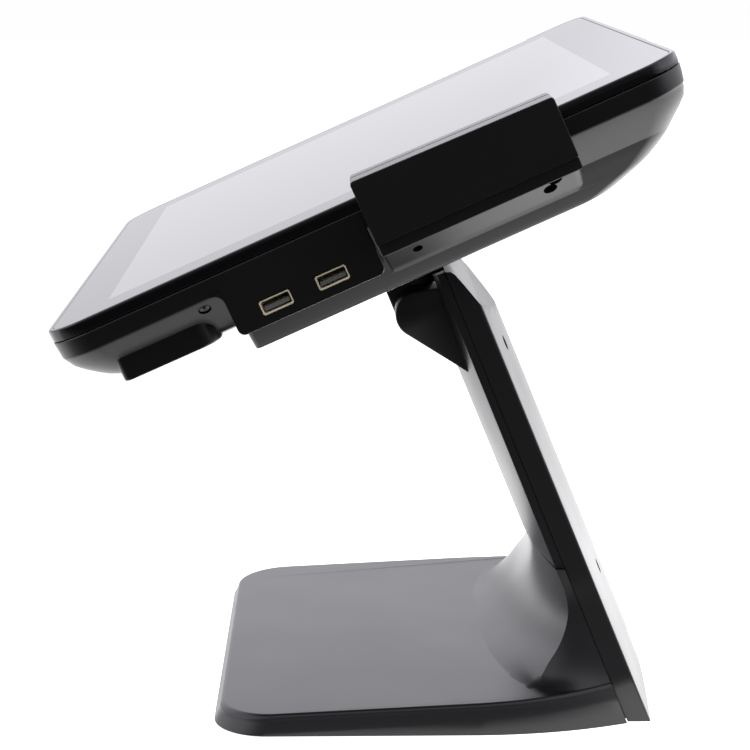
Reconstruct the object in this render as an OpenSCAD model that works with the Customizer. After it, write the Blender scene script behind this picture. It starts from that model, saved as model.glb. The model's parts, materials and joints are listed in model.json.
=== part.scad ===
// Countertop touchscreen terminal: tilting all-in-one head on a weighted pedestal.
// Millimetres. +X is the user's right, +Y is the back, +Z is up.
// Origin: centre of the base on the surface that it stands on.

/* [Head] */
// Width of the head
head_w = 360; // [350:1:370]
// Height of the head along the glass
head_l = 280.8; // [276:0.2:284]
// Corner radius of the head seen from the front
head_r = 18; // [14:1:24]
// Viewable width of the display
view_w = 304.1; // [300:0.1:306]
// Viewable height of the display
view_l = 228.1; // [224:0.1:230]
// Thickness of the touch glass
glass_t = 3; // [2:0.5:4]
// Depth of the glossy front bezel band
bezel_t = 5.2; // [4.6:0.1:6]
// Depth of the head at its thick rear box
head_depth = 45; // [43:1:48]
// Depth of the head at its thin lower strip
thin_depth = 31; // [30:1:33]
// Wall of the moulded covers
wall = 2.4; // [2:0.1:3]
// Angle of the glass from level at rest
rest_tilt = 24.15; // [20:0.05:30]
// Height of the middle of the glass above the counter
glass_z = 254; // [250:1:260]
// Set-forward of the middle of the glass from the middle of the base
glass_y = -35; // [-40:1:-30]

/* [Card reader] */
// Length of the card reader along the head's side
reader_l = 86; // [80:1:92]
// Distance that the card reader stands out from the head's side
reader_x = 24.6; // [22:0.1:28]
// Height that the card reader stands above the glass
reader_up = 8.9; // [6:0.1:12]
// Width of the swipe slot
swipe_w = 1.4; // [1.2:0.1:1.8]

/* [Stand] */
// Width of the base
base_w = 240; // [230:1:250]
// Distance from the middle of the base to its front edge
base_front = 101.2; // [98:0.1:106]
// Distance from the middle of the base to its rear edge at the middle
base_rear = 103; // [101:1:106]
// Angle that the arm leans forward from upright
lean = 22.4; // [21:0.1:24]
// Half width of the arm at its top
arm_top_hw = 58; // [56:1:62]
// Half width of the arm where it meets the base
arm_low_hw = 90; // [86:1:92]
// Depth of the arm's flat side
side_d = 14; // [12:0.5:16]
// Bulge of the arm's front face at its middle
front_crown = 8.6; // [6:0.2:10]
// Bulge of the arm's rear face at its middle
rear_crown = 6.3; // [4:0.1:7]

/* [Hinge] */
// Outer radius of the hinge barrel
barrel_r = 11; // [10:0.5:12]
// Radius of the tilt shaft
shaft_r = 4; // [3.5:0.25:5]
// Radial running clearance between the shaft and the tilt bracket
run_gap = 0.05; // [0.03:0.01:0.1]
// Half width of the moving neck
neck_hw = 32; // [28:1:34]

/* [Hidden] */
$fn = 48;

gap = 0.3;
hull_fn = 32;
head_hw = head_w / 2;
head_hl = head_l / 2;

// Arm frame: u runs up the arm, v runs back and up across its thickness.
cos_l = cos(lean);
sin_l = sin(lean);
v_front = 79;
v_seam = 83;
v_back = v_front + side_d;
function arm_v(y, z) = y * cos_l + z * sin_l;
function arm_u(y, z) = z * cos_l - y * sin_l;
// Tilt axis, 14.6 mm in front of the arm's flat side, near the top of the arm.
axis_y = -5.6;
axis_z = 182.5;
axis_u = arm_u(axis_y, axis_z);
axis_v = arm_v(axis_y, axis_z);
// The same axis in the head's own frame.
axis_s = (axis_y - glass_y) * cos(rest_tilt) + (axis_z - glass_z) * sin(rest_tilt);
axis_n = (axis_z - glass_z) * cos(rest_tilt) - (axis_y - glass_y) * sin(rest_tilt);
arm_top_u = 187;
arm_floor_u = -44;

// Base casting
foot_h = 1;
front_top_z = 8.8;
base_slope = 0.05;
front_r = 25;
root_u = 34;
crease_u = -12.6;
junction_z = 70;
sweep_r = 37.4;

// Head layout, in the head's frame: x across, y up the slope, z out of the glass.
split_n = -5.6;
crease_n = -14;
slope_n = -28;
slope_x = 165;
box_s = -67;
usb_face_n = -33;
usb_s = [-47.8, -22.9];
usb_n = -26;
usb_panel_s = [box_s, -2];
pad_s = [-2, 86];
pod_s = [-119, -78];
pod_n = [-32.5, -22.6];
pod_x = 171;
button_s = -76;
button_n = -17.7;
button_x = head_hw - (head_hw - slope_x) * (crease_n - button_n) / (crease_n - slope_n);
button_tilt = atan2(head_hw - slope_x, crease_n - slope_n);
button_r = 2.5;
board_n = -24;

// ---- shared shapes ----

// Puts children given in the head's frame at their place on the stand.
module in_head() {
    translate([0, glass_y, glass_z]) rotate([rest_tilt, 0, 0]) children();
}

// Puts children given as (x, v, u) in the arm's frame at their place.
module in_arm() {
    rotate([lean, 0, 0]) children();
}

// A ring of points round a rectangle whose low and high corners have their own radii.
function corner_ring(hw, lo, hi, r_lo, r_hi, n = 6) = concat(
    [for (i = [0 : n]) [hw - r_hi + r_hi * cos(90 * i / n), hi - r_hi + r_hi * sin(90 * i / n)]],
    [for (i = [0 : n]) [-hw + r_hi - r_hi * sin(90 * i / n), hi - r_hi + r_hi * cos(90 * i / n)]],
    [for (i = [0 : n]) [-hw + r_lo - r_lo * cos(90 * i / n), lo + r_lo - r_lo * sin(90 * i / n)]],
    [for (i = [0 : n]) [hw - r_lo + r_lo * sin(90 * i / n), lo + r_lo - r_lo * cos(90 * i / n)]]
);

// Lifts a ring to a height.
function at_z(ring, z) = [for (p = ring) [p[0], p[1], z]];

// A closed skin through rings of equal length, given from the highest to the lowest.
module loft(rings) {
    m = len(rings[0]);
    k = len(rings);
    points = [for (ring = rings) each ring];
    sides = [for (j = [0 : k - 2], i = [0 : m - 1])
        [j * m + i, j * m + (i + 1) % m, (j + 1) * m + (i + 1) % m, (j + 1) * m + i]];
    top = [[for (i = [m - 1 : -1 : 0]) i]];
    bottom = [[for (i = [0 : m - 1]) (k - 1) * m + i]];
    polyhedron(points, concat(top, sides, bottom), convexity = 6);
}

// A rounded plate.
module plate(w, l, r, t) {
    linear_extrude(t) offset(r) square([w - 2 * r, l - 2 * r], center = true);
}

// A pan-head screw with its head's underside at z = 0 and its shank below.
module screw(r, l, head_r, head_h) {
    cylinder(r = head_r, h = head_h, $fn = 32);
    translate([0, 0, -l]) cylinder(r = r, h = l, $fn = 24);
}

// ---- base ----

// Half width of the footprint at a distance back from the middle of the base.
side_start = 15;
rear_corner_y = 95;
function foot_hw(y) = base_w / 2 - 0.5
    - (y > side_start ? 17 * pow((y - side_start) / (rear_corner_y - side_start), 2.2) : 0);

// Outline of the base: round front corners, sides that draw in, a bowed rear edge.
function base_outline(d) = concat(
    [for (i = [0 : 6]) [foot_hw(0) - d - front_r + front_r * sin(15 * i),
                        -base_front + d + front_r - front_r * cos(15 * i)]],
    [for (i = [0 : 6]) let (y = side_start + (rear_corner_y - d - side_start) * i / 6)
        [foot_hw(y) - d, y]],
    [for (i = [1 : 7]) let (x = (foot_hw(rear_corner_y) - d) * (1 - i / 4))
        [x, rear_corner_y - d + (base_rear - rear_corner_y) * (1 - pow(1 - i / 4, 2))]],
    [for (i = [0 : 6]) let (y = rear_corner_y - d - (rear_corner_y - d - side_start) * i / 6)
        [-foot_hw(y) + d, y]],
    [for (i = [0 : 6]) [-foot_hw(0) + d + front_r - front_r * cos(15 * i),
                        -base_front + d + front_r - front_r * sin(15 * i)]]
);

// Height of the base's upper face.
function top_z(y) = front_top_z + base_slope * (y + base_front);

// Solid slab of the base, inset by d at the sides and on top.
module base_slab(d) {
    loft([
        [for (p = base_outline(4.2 + d)) [p[0], p[1], top_z(p[1]) - d]],
        [for (p = base_outline(2.8 + d)) [p[0], p[1], top_z(p[1]) - 0.8 - d]],
        [for (p = base_outline(2.2 + d)) [p[0], p[1], top_z(p[1]) - 3 - d]],
        [for (p = base_outline(d)) [p[0], p[1], foot_h]]
    ]);
}

// Half width of the root along the seam, which flares down to the crease and then runs level.
function seam_hw(u) = arm_low_hw + 13 * pow(max(0, min(1, (root_u - u) / (root_u - crease_u))), 1.7);

// Half width of the root's front edge at a height.
function root_hw(z) = arm_low_hw + 11 * pow(max(0, 60 - z) / 45, 1.6);

// How far the root's flank flares out past its front edge, halfway back.
function flank(z) = max(0, min(18, 80 / max(1, z - 13.4) - 1.9));

// Centre of the concave sweep, an arc that meets the base's face and the arm's front.
sweep_z = 14.7 + sweep_r;
sweep_y = (v_front - sweep_r - sweep_z * sin_l) / cos_l;

// Front edge of the root at a height, on the arm's flat side.
function root_front(z) = z > sweep_z + sweep_r * sin_l
    ? (v_front - z * sin_l) / cos_l
    : sweep_y + sqrt(max(0, sweep_r * sweep_r - (z - sweep_z) * (z - sweep_z)));

// Level section of the root of the arm, inset by d, from its front curve to just past the seam.
function root_ring(z, d, n = 16) = let (
    w = root_hw(z) - d,
    y = (v_seam + 1 + d - z * sin_l) / cos_l,
    ws = seam_hw(arm_u(y, z)) - d,
    wm = min(foot_hw(56) - 3 - d, w + flank(z)),
    ym = max(56, root_front(z) + d + 1)
) concat(
    [for (i = [0 : n]) let (t = i / n * 2 - 1)
        [w * t, root_front(z) + d - front_crown * (1 - t * t)]],
    [[wm, ym], [ws, y], [-ws, y], [-wm, ym]]
);

// The swept root of the arm, in levels from the junction to the base.
root_levels = [junction_z, 60, 50, 42, 35, 29, 24, 20, 17.6, 16, 15.2, 14.8, 13];
root_inner_low = 10;
module arm_root(d) {
    levels = concat(root_levels, d > 0 ? [root_inner_low] : []);
    loft([for (z = levels) at_z(root_ring(z, d), z)]);
}

// Space taken by the rear cover and what lies behind the seam plane.
module behind_seam(margin) {
    in_arm() translate([-200, v_seam - margin, arm_floor_u - 30]) cube([400, 100, 400]);
}

module base_shell() {
    color("#2b2a2e") difference() {
        union() {
            base_slab(0);
            arm_root(0);
        }
        behind_seam(0.2);
        difference() {
            union() {
                base_slab(wall + 0.6);
                base_floor_pocket();
            }
            for (p = base_bosses) translate([p[0], p[1], plate_top]) cylinder(r = 4.5, h = 40);
        }
        arm_root(wall);
        root_inside_top();
        for (p = base_bosses) translate([p[0], p[1], 0]) cylinder(r = 1.5, h = 7.4);
    }
}

base_bosses = [[-98, -80], [98, -80], [-98, 12], [98, 12], [0, -84]];
plate_low = foot_h + 0.4;
plate_top = plate_low + 1.5;
module base_floor_pocket() {
    translate([0, 0, foot_h - 1]) linear_extrude(plate_top + 0.2) polygon(base_outline(2.6));
}

// Opens the top and the rear of the root so that the spine passes through.
module root_inside_top() {
    in_arm() translate([-60, v_front - 2, -30]) cube([120, 20, 120]);
}

module base_cover_plate() {
    color("#3a3a3d") difference() {
        translate([0, 0, plate_low]) linear_extrude(plate_top - plate_low) difference() {
            polygon(base_outline(3.2));
            translate([-300, 86]) square([600, 60]);
        }
        for (p = base_bosses) translate([p[0], p[1], 0]) cylinder(r = 1.7, h = 8);
        for (p = foot_places) translate([p[0], p[1], 0]) cylinder(r = 2.6, h = 8);
        for (p = concat(weight_screw_places, foot_screw_places)) translate([p[0], p[1], 0])
            cylinder(r = 2.05, h = 8);
    }
}

weight_t = 3.6;
weight_screw_places = [[-60, -50], [60, -50], [-60, 2], [60, 2]];
module base_weight() {
    color("#55565a") difference() {
        translate([0, -24, plate_top + 0.2]) linear_extrude(weight_t)
            offset(12) square([150, 76], center = true);
        for (p = weight_screw_places) translate([p[0], p[1], 0]) cylinder(r = 2.05, h = 20);
    }
}

module weight_screws() {
    color("#8f9094") for (p = weight_screw_places)
        translate([p[0], p[1], plate_top + 0.25 + weight_t]) screw(2, 5.2, 3.4, 1.1);
}

foot_places = [[0, 0], [-92, -66], [92, -66], [-84, 62], [84, 62]];
module base_feet() {
    color("#151515") for (p = foot_places) translate([p[0], p[1], 0]) {
        cylinder(r1 = 7, r2 = 8, h = plate_low);
        cylinder(r = 2.5, h = foot_h + 2);
    }
}

module base_screws() {
    color("#8f9094") for (p = base_bosses)
        translate([p[0], p[1], plate_low]) rotate([180, 0, 0]) screw(1.5, 5.6, 2.8, 0.9);
}

// ---- arm ----

// Half width of the arm at a distance along it: it narrows to the top and flares at the foot.
function arm_hw(u) = u > root_u
    ? arm_low_hw + (arm_top_hw - arm_low_hw) * (u - root_u) / (arm_top_u - root_u)
    : seam_hw(u);

// Section of the front cover: flat sides and a bowed face.
function front_section(u, d, n = 16) = let (w = arm_hw(u) - d) concat(
    [for (i = [0 : n]) let (t = i / n * 2 - 1) [w * t, v_front + d - front_crown * (1 - t * t), u]],
    [[w, v_seam - 0.2, u], [-w, v_seam - 0.2, u]]
);

// Section of the rear cover: flat sides, eased edges and a bowed back.
function rear_section(u, d, n = 16) = let (w = arm_hw(u) - d) concat(
    [[-w, v_seam + 0.2, u], [w, v_seam + 0.2, u]],
    [for (i = [0 : n]) let (t = 1 - i / n * 2) [w * t, v_back - d + rear_crown * (1 - pow(t, 4)), u]]
);

module arm_front_solid(d, low, high) {
    levels = [for (i = [6 : -1 : 0]) low + (high - low) * i / 6];
    in_arm() loft([for (u = levels) front_section(u, d)]);
}

module arm_rear_solid(d, low, high) {
    levels = [for (i = [12 : -1 : 0]) low + (high - low) * i / 12];
    in_arm() loft([for (u = levels) rear_section(u, d)]);
}

// Outline of the arm seen from its side, as (v, u), with the eased top edge.
module arm_top_cut() {
    in_arm() rotate([90, 0, 90]) translate([0, 0, -150]) linear_extrude(300)
        polygon([[60, 230], [66, 190], [v_seam, 186], [87.4, 182.3], [92.8, 166.3],
                 [v_back + rear_crown + 1, 150], [v_back + 30, 150], [v_back + 30, 230]]);
}

// Place up the arm of the hole where a cable enters it.
cable_u = 125;

// Teardrop outline of the hinge housing as (v, u).
module teardrop(r) {
    hull() {
        translate([axis_v, axis_u]) circle(r = r, $fn = hull_fn);
        translate([v_front - 5, axis_u + 1]) circle(r = 8 + r - barrel_r, $fn = hull_fn);
        translate([v_front - 1, 134.5]) circle(r = 1, $fn = hull_fn);
    }
}

module along_x(hw) {
    rotate([90, 0, 90]) translate([0, 0, -hw]) linear_extrude(2 * hw) children();
}

module arm_front_cover() {
    low_u = arm_u(52, junction_z) + 0.2;
    color("#232326") difference() {
        arm_front_solid(0, low_u - 6, 186);
        arm_front_solid(wall, low_u - 20, 183);
        translate([-200, -200, junction_z - 199.7]) cube([400, 600, 200]);
        arm_top_cut();
        in_arm() along_x(housing_hw) teardrop(barrel_r);
        in_arm() translate([-housing_hw, v_front - 12, 147]) cube([2 * housing_hw, 20, 50]);
        in_arm() translate([-48, v_front - 0.6, 30]) cube([96, 9, 146]);
        in_arm() translate([0, 60, cable_u]) rotate([-90, 0, 0]) cylinder(r = 4.5, h = 14);
    }
}

// Barrel on the arm's front face: two covers that close over the hinge, one each side of the neck.
housing_hw = 52;
module hinge_housing() {
    color("#232326") difference() {
        in_arm() along_x(housing_hw) teardrop(barrel_r);
        in_arm() difference() {
            along_x(housing_hw - wall) teardrop(barrel_r - 2);
            for (x = [-1, 1]) translate([x * (neck_hw + 1.8), 0, 0])
                along_x(1) teardrop(barrel_r - 1);
        }
        in_arm() translate([-200, v_front - front_crown + 0.4, 0]) cube([400, 40, 147]);
        in_arm() translate([-housing_hw + wall, 74, 147]) cube([2 * (housing_hw - wall), 12, 29]);
        in_arm() translate([-neck_hw - 0.6, axis_v - 30, axis_u - 13.4]) cube([2 * neck_hw + 1.2, 60, 60]);
        along_tilt_axis() cylinder(r = 7.7, h = 2 * (housing_hw - wall), center = true);
    }
}

// Puts children with their axis along z onto the tilt axis.
module along_tilt_axis() {
    translate([0, axis_y, axis_z]) rotate([0, 90, 0]) children();
}

module arm_rear_cover() {
    color("#232326") difference() {
        arm_rear_solid(0, arm_floor_u, 186);
        arm_rear_solid(wall, arm_floor_u - 6, 150);
        arm_top_cut();
        in_arm() translate([-48, v_seam - 1, 120]) cube([96, 4.8, 50]);
        translate([-200, -200, foot_h - 60]) cube([400, 600, 60]);
        for (p = rear_screw_places) in_arm() translate([p[0], v_seam, p[1]]) rotate([-90, 0, 0])
            cylinder(r = 1.9, h = 40);
        for (p = rear_screw_places) in_arm() translate([p[0], v_back + 1.2, p[1]]) rotate([-90, 0, 0])
            cylinder(r = 3.6, h = 40);
        cable_exit();
    }
}

rear_screw_places = [[-36, 140], [36, 140], [-36, 20], [36, 20]];
module rear_cover_screws() {
    color("#6d6e72") for (p = rear_screw_places) in_arm()
        translate([p[0], v_back + 1.3, p[1]]) rotate([-90, 0, 0]) screw(1.5, 9.6, 3.3, 1.8);
}

// Mouse-hole at the foot of the rear cover where cables leave.
module cable_exit() {
    translate([0, 60, foot_h - 1]) rotate([-90, 0, 0]) linear_extrude(80)
        offset(5) square([26, 20], center = true);
}

module arm_spine() {
    color("#8b8d91") difference() {
        union() {
            difference() {
                in_arm() translate([-47, v_seam + 0.6, -34]) cube([94, 2.5, 200]);
                translate([-200, -200, spine_foot_z - 199]) cube([400, 600, 200]);
            }
            in_arm() for (x = [-47, 45]) translate([x, v_seam - 3, -10]) cube([2, 4, 130]);
            translate([-46, 45, spine_foot_z]) cube([92, 43, 2.5]);
        }
        in_arm() translate([0, v_seam - 6, cable_u]) rotate([-90, 0, 0]) cylinder(r = 9, h = 20);
        for (p = foot_screw_places) translate([p[0], p[1], 0]) cylinder(r = 2.05, h = 20);
        in_arm() for (p = ear_screws) translate([p[0], v_seam - 6, p[1]]) rotate([-90, 0, 0])
            cylinder(r = 2.1, h = 20);
        in_arm() for (p = rear_screw_places) translate([p[0], v_seam - 6, p[1]]) rotate([-90, 0, 0])
            cylinder(r = 1.5, h = 20);
    }
}

spine_foot_z = 6.9;
foot_screw_places = [[-36, 52], [36, 52], [-36, 70], [36, 70]];
ear_screws = [[-43, 150], [43, 150], [-43, 160], [43, 160]];
module spine_screws() {
    color("#b9bbc0") {
        in_arm() for (p = ear_screws)
            translate([p[0], v_seam - 1.55, p[1]]) rotate([90, 0, 0]) screw(2, 5, 3.2, 1.4);
        for (p = foot_screw_places) translate([p[0], p[1], spine_foot_z + 2.5]) screw(2, 7.4, 3.4, 1.6);
    }
}

ear_x = 36;
module hinge_ears() {
    color("#a0a2a6") for (side = [-1, 1]) difference() {
        in_arm() union() {
            along_ear(side) hull() {
                translate([axis_v, axis_u]) circle(r = 7.6, $fn = hull_fn);
                translate([v_seam - 0.6, 146]) square([1.1, 18]);
            }
            translate([side * (ear_x + 5.5) - 5.5, v_seam - 1.5, 146]) cube([11, 2, 18]);
        }
        along_tilt_axis() cylinder(r = shaft_r, h = 140, center = true);
        in_arm() for (p = ear_screws) translate([p[0], v_seam - 10, p[1]]) rotate([-90, 0, 0])
            cylinder(r = 2.05, h = 20);
    }
}

// One hinge ear's plate, 3 mm thick, on the left or right.
module along_ear(side) {
    rotate([90, 0, 90]) translate([0, 0, side * ear_x + (side > 0 ? 0 : -3)]) linear_extrude(3) children();
}

module tilt_shaft() {
    color("#c4c6ca") along_tilt_axis() cylinder(r = shaft_r, h = 96, center = true);
}

module friction_washers() {
    color("#b08d4a") for (x = [-1, 1], k = [0, 1]) along_tilt_axis()
        translate([0, 0, x * (31.5 + 3 * k)]) difference() {
            cylinder(r = 7, h = 2.9, center = true);
            cylinder(r = shaft_r, h = 4, center = true);
        }
}

module spring_washers() {
    color("#9a9ca1") for (x = [-1, 1], k = [0 : 2]) along_tilt_axis()
        translate([0, 0, x * (39.6 + k * 1.1)]) difference() {
            cylinder(r = 6, h = 0.9, center = true);
            cylinder(r = shaft_r, h = 4, center = true);
        }
}

module shaft_nuts() {
    color("#b4b6ba") for (x = [-1, 1]) along_tilt_axis() translate([0, 0, x * 44.6]) difference() {
        cylinder(r = 5.8, h = 4, center = true, $fn = 6);
        cylinder(r = shaft_r, h = 8, center = true);
    }
}

// ---- neck between the arm and the head ----

module neck_outline(r) {
    hull() {
        translate([axis_s, axis_n]) circle(r = r, $fn = hull_fn);
        translate([axis_s - 10 - r + barrel_r, -head_depth - gap - 1]) square([24 + 2 * (r - barrel_r), 1]);
    }
}

module neck_cover() {
    color("#1f1f22") in_head() difference() {
        along_x(neck_hw) neck_outline(barrel_r);
        along_x(neck_hw - 2) neck_outline(barrel_r - 2);
        translate([-neck_hw + 2, axis_s - 7, -head_depth - 20]) cube([2 * neck_hw - 4, 16, 30]);
        translate([0, axis_s, axis_n]) rotate([0, 90, 0]) cylinder(r = 7.6, h = 100, center = true);
    }
}

bracket_x = 28.4;
bracket_n = -head_depth + wall + 0.4;
module tilt_bracket() {
    color("#a0a2a6") difference() {
        in_head() union() {
            for (side = [-1, 1]) translate([side * bracket_x - 1.5, 0, 0]) rotate([90, 0, 90])
                linear_extrude(3) hull() {
                    translate([axis_s, axis_n]) circle(r = 7.4, $fn = hull_fn);
                    translate([axis_s - 6, -head_depth + 3.4]) square([14, 2]);
                }
            translate([-50, axis_s - 30, bracket_n]) cube([100, 60, 2.4]);
        }
        along_tilt_axis() cylinder(r = shaft_r + run_gap, h = 100, center = true);
        in_head() for (p = bracket_screws) translate([p[0], p[1], -head_depth]) cylinder(r = 2.1, h = 20);
    }
}

bracket_screws = [[-42, axis_s - 22], [42, axis_s - 22], [-42, axis_s + 22], [42, axis_s + 22]];
module tilt_bracket_screws() {
    color("#b9bbc0") in_head() for (p = bracket_screws)
        translate([p[0], p[1], bracket_n]) rotate([180, 0, 0]) screw(2, 7, 3.6, 1.8);
}

// Pillars that carry the tilt bracket from the chassis plate.
module hinge_pillars() {
    color("#c8c9cc") in_head() for (p = bracket_screws) translate([p[0], p[1], 0]) difference() {
        translate([0, 0, bracket_n + 2.4]) cylinder(r = 3.8, h = chassis_n - bracket_n - 2.4, $fn = 6);
        translate([0, 0, bracket_n]) cylinder(r = 2, h = 9);
    }
}

// ---- head covers ----

// Rings of the wide tray: flared edge, crease, slope and thin back.
function tray_rings(d) = [
    at_z(corner_ring(head_hw - d, -head_hl + d, head_hl - d, head_r, head_r), split_n),
    at_z(corner_ring(head_hw - 0.7 - d, -head_hl + 2.2 + d, head_hl - 1.2 - d, head_r, head_r), crease_n),
    at_z(corner_ring(slope_x + 7 - d, -133.5 + d, 131.3 - d, head_r, 20), (crease_n + slope_n) / 2 + d * 0.3),
    at_z(corner_ring(slope_x - d, -123.5 + d, 123.5 - d, head_r, 22), slope_n + d * 0.6),
    at_z(corner_ring(slope_x - 7 - d, -115 + d, 119.8 - d, head_r, 22), -thin_depth + d)
];

// Rings of the thick rear box, rounding over at its upper end.
function box_rings(d) = [
    at_z(corner_ring(slope_x + 0.6 - d, box_s + d, 123.8 - d, 4, 16), slope_n + 1.5),
    at_z(corner_ring(slope_x - 0.5 - d, box_s + d, 119.6 - d, 4, 16), -33 + d * 0.6),
    at_z(corner_ring(slope_x - 4 - d, box_s + d, 114.1 - d, 4, 16), -37.2 + d * 0.8),
    at_z(corner_ring(slope_x - 7 - d, box_s + d, 107.5 - d, 4, 18), -41.2 + d),
    at_z(corner_ring(slope_x - 11 - d, box_s + d, 98 - d, 4, 20), -43.7 + d),
    at_z(corner_ring(slope_x - 25 - d, box_s + d, 88 - d, 4, 24), -head_depth + d)
];

// Side block along the head: the port panel, flush with the head's side.
module port_block(d) {
    intersection() {
        translate([0, usb_panel_s[1] - d, 0]) rotate([90, 0, 0])
            linear_extrude(usb_panel_s[1] - usb_panel_s[0] - 2 * d)
                polygon([[130, split_n], [head_hw - d, split_n], [head_hw - d, usb_face_n + d],
                         [155 - d, -43.7 + d], [130, -43.7 + d]]);
        translate([100, 0, 0]) rotate([90, 0, 90]) linear_extrude(100) hull() {
            for (s = [usb_panel_s[0] + 6, usb_panel_s[1] - 6]) translate([s, usb_face_n - 5]) circle(r = 6 - d);
            translate([usb_panel_s[0] + d, split_n - 1]) square([usb_panel_s[1] - usb_panel_s[0] - 2 * d, 2]);
        }
    }
}

// Inclined pad beside the port panel that carries the card reader.
module reader_pad(d) {
    translate([0, pad_s[1] - d, 0]) rotate([90, 0, 0]) linear_extrude(pad_s[1] - pad_s[0])
        polygon([[130, split_n], [head_hw - 1 - d, split_n], [head_hw - 1 - d, crease_n],
                 [head_hw - 9 - d, usb_face_n + d], [155 - d, -43.4 + d], [130, -43.4 + d]]);
}

// Pods that hold the speakers at the lower corners.
module pods(d) {
    for (side = [-1, 1]) translate([side * (pod_x - 26), (pod_s[0] + pod_s[1]) / 2, pod_n[0] + d])
        linear_extrude(pod_n[1] - pod_n[0] + 4) offset(8 - d)
            square([52 - 16, pod_s[1] - pod_s[0] - 16], center = true);
}

screw_places = [[-150, -118], [150, -118], [-156, 100], [156, 100]];
reader_screw_s = [10, 76];
reader_screw_n = -10;
// Holes in the reader's pad, as (up the slope, out of the glass).
pad_holes = [[11.3, -29.5], [75.4, -26.4], [72.8, -30.6]];
module back_cover() {
    color("#1f1f22") in_head() difference() {
        union() {
            loft(tray_rings(0));
            loft(box_rings(0));
            port_block(0);
            reader_pad(0);
            pods(0);
        }
        difference() {
            union() {
                loft(tray_rings(wall));
                loft(box_rings(wall));
                port_block(wall);
                reader_pad(wall);
                pods(wall);
                translate([0, 0, split_n - 0.4]) linear_extrude(3) offset(head_r - wall)
                    square([head_w - 2 * head_r, head_l - 2 * head_r], center = true);
            }
            for (p = screw_places) translate([p[0], p[1], -60]) cylinder(r = 5.4, h = 60 + chassis_n - 0.2);
        }
        for (s = usb_s) translate([head_hw - 6, s - 6.9, usb_n - 3.3]) cube([12, 13.8, 6.6]);
        translate([-118, box_s - 4, -41.5]) cube([236, 8, 15]);
        translate([-neck_hw + 1, axis_s - 7, -head_depth - 1]) cube([2 * neck_hw - 2, 16, 5]);
        for (p = bracket_screws) translate([p[0], p[1], -head_depth - 1]) cylinder(r = 4.2, h = 5);
        in_button() translate([0, 0, -6]) cylinder(r = button_r + 0.3, h = 20, $fn = 32);
        for (p = screw_places) translate([p[0], p[1], -60]) cylinder(r = 1.8, h = 60);
        for (p = screw_places) translate([p[0], p[1], -80.6]) cylinder(r = 3.6, h = 60);
        for (p = speaker_slots) translate([p[0], p[1], -40]) cylinder(r = 1.1, h = 14, $fn = 16);
        for (s = reader_screw_s) translate([head_hw - 12, s, reader_screw_n]) rotate([0, 90, 0])
            cylinder(r = 1.4, h = 20);
        for (p = pad_holes) translate([head_hw - 7.6, p[0], p[1]]) rotate([0, 112.8, 0])
            cylinder(r = 1.7, h = 12, center = true);
    }
}

module back_cover_screws() {
    color("#6d6e72") in_head() for (p = screw_places)
        translate([p[0], p[1], -20.6]) rotate([180, 0, 0]) screw(1.5, 4.8, 3.2, 1.5);
}

// Small round holes in the pods' undersides where the sound leaves.
speaker_slots = [for (side = [-1, 1], i = [-3 : 3], j = [-2 : 2]) [side * 145 + i * 4.4, -97.5 + j * 4.4]];

module front_bezel() {
    color("#0c0c0e") in_head() difference() {
        translate([0, 0, -bezel_t]) plate(head_w, head_l, head_r, bezel_t);
        translate([0, 0, -glass_t - 0.5]) plate(head_w - 4.4, head_l - 4.4, head_r - 2, 10);
        translate([0, 0, -20]) plate(336, 260, 6, 40);
    }
}

module glass_tape() {
    color("#101012") in_head() translate([0, 0, -glass_t - 0.45]) linear_extrude(0.4) difference() {
        offset(head_r - 4) square([head_w - 12 - 2 * (head_r - 4), head_l - 12 - 2 * (head_r - 4)], center = true);
        square([337, 261], center = true);
    }
}

module touch_glass() {
    color("#c9cad2") in_head() translate([0, 0, -glass_t])
        plate(head_w - 4.8, head_l - 4.8, head_r - 2.4, glass_t);
}

module lcd_panel() {
    color("#9fa0a8") in_head() translate([0, 0, -4.4 - 11]) plate(326, 252, 2, 11);
}

chassis_n = -17.2;
module chassis_plate() {
    color("#a7a9ad") in_head() difference() {
        union() {
            translate([0, 0, chassis_n]) plate(326, 256, 6, 1.2);
            for (s = [-128, 127]) translate([-120, s, chassis_n]) cube([240, 1, 8]);
        }
        translate([-60, 100, chassis_n - 1]) plate(34, 10, 4, 4);
        for (p = lcd_screw_places) translate([p[0], p[1], chassis_n - 1]) cylinder(r = 1.6, h = 4);
        for (p = screw_places) translate([p[0], p[1], chassis_n - 1]) cylinder(r = 1.5, h = 4);
    }
}

lcd_screw_places = [[-150, 60], [150, 60], [-150, -60], [150, -60]];
module lcd_screws() {
    color("#b9bbc0") in_head() for (p = lcd_screw_places)
        translate([p[0], p[1], chassis_n - 0.05]) rotate([180, 0, 0]) screw(1.5, 1.7, 2.8, 1.1);
}

module touch_controller() {
    color("#1d4a2e") in_head() translate([-110, 96, chassis_n - 4]) {
        cube([60, 18, 1.6]);
        translate([20, 4, -1.2]) cube([10, 10, 1.3]);
    }
}

// ---- electronics ----

board_lo = [-118, -58];
board_size = [170, 150];
module main_board() {
    color("#1c5a34") in_head() difference() {
        union() {
            translate([board_lo[0], board_lo[1], board_n]) cube([board_size[0], board_size[1], 1.6]);
            translate([-20, 62, board_n - 5]) cube([74 - 24, 6, 5.1]);
            translate([-112, 60, board_n - 6]) cube([46, 12, 6.1]);
        }
        for (p = standoff_places) translate([p[0], p[1], board_n - 1]) cylinder(r = 1.7, h = 4);
        for (p = bracket_screws) translate([p[0], p[1], board_n - 1]) cylinder(r = 4.6, h = 4);
    }
}

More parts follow.
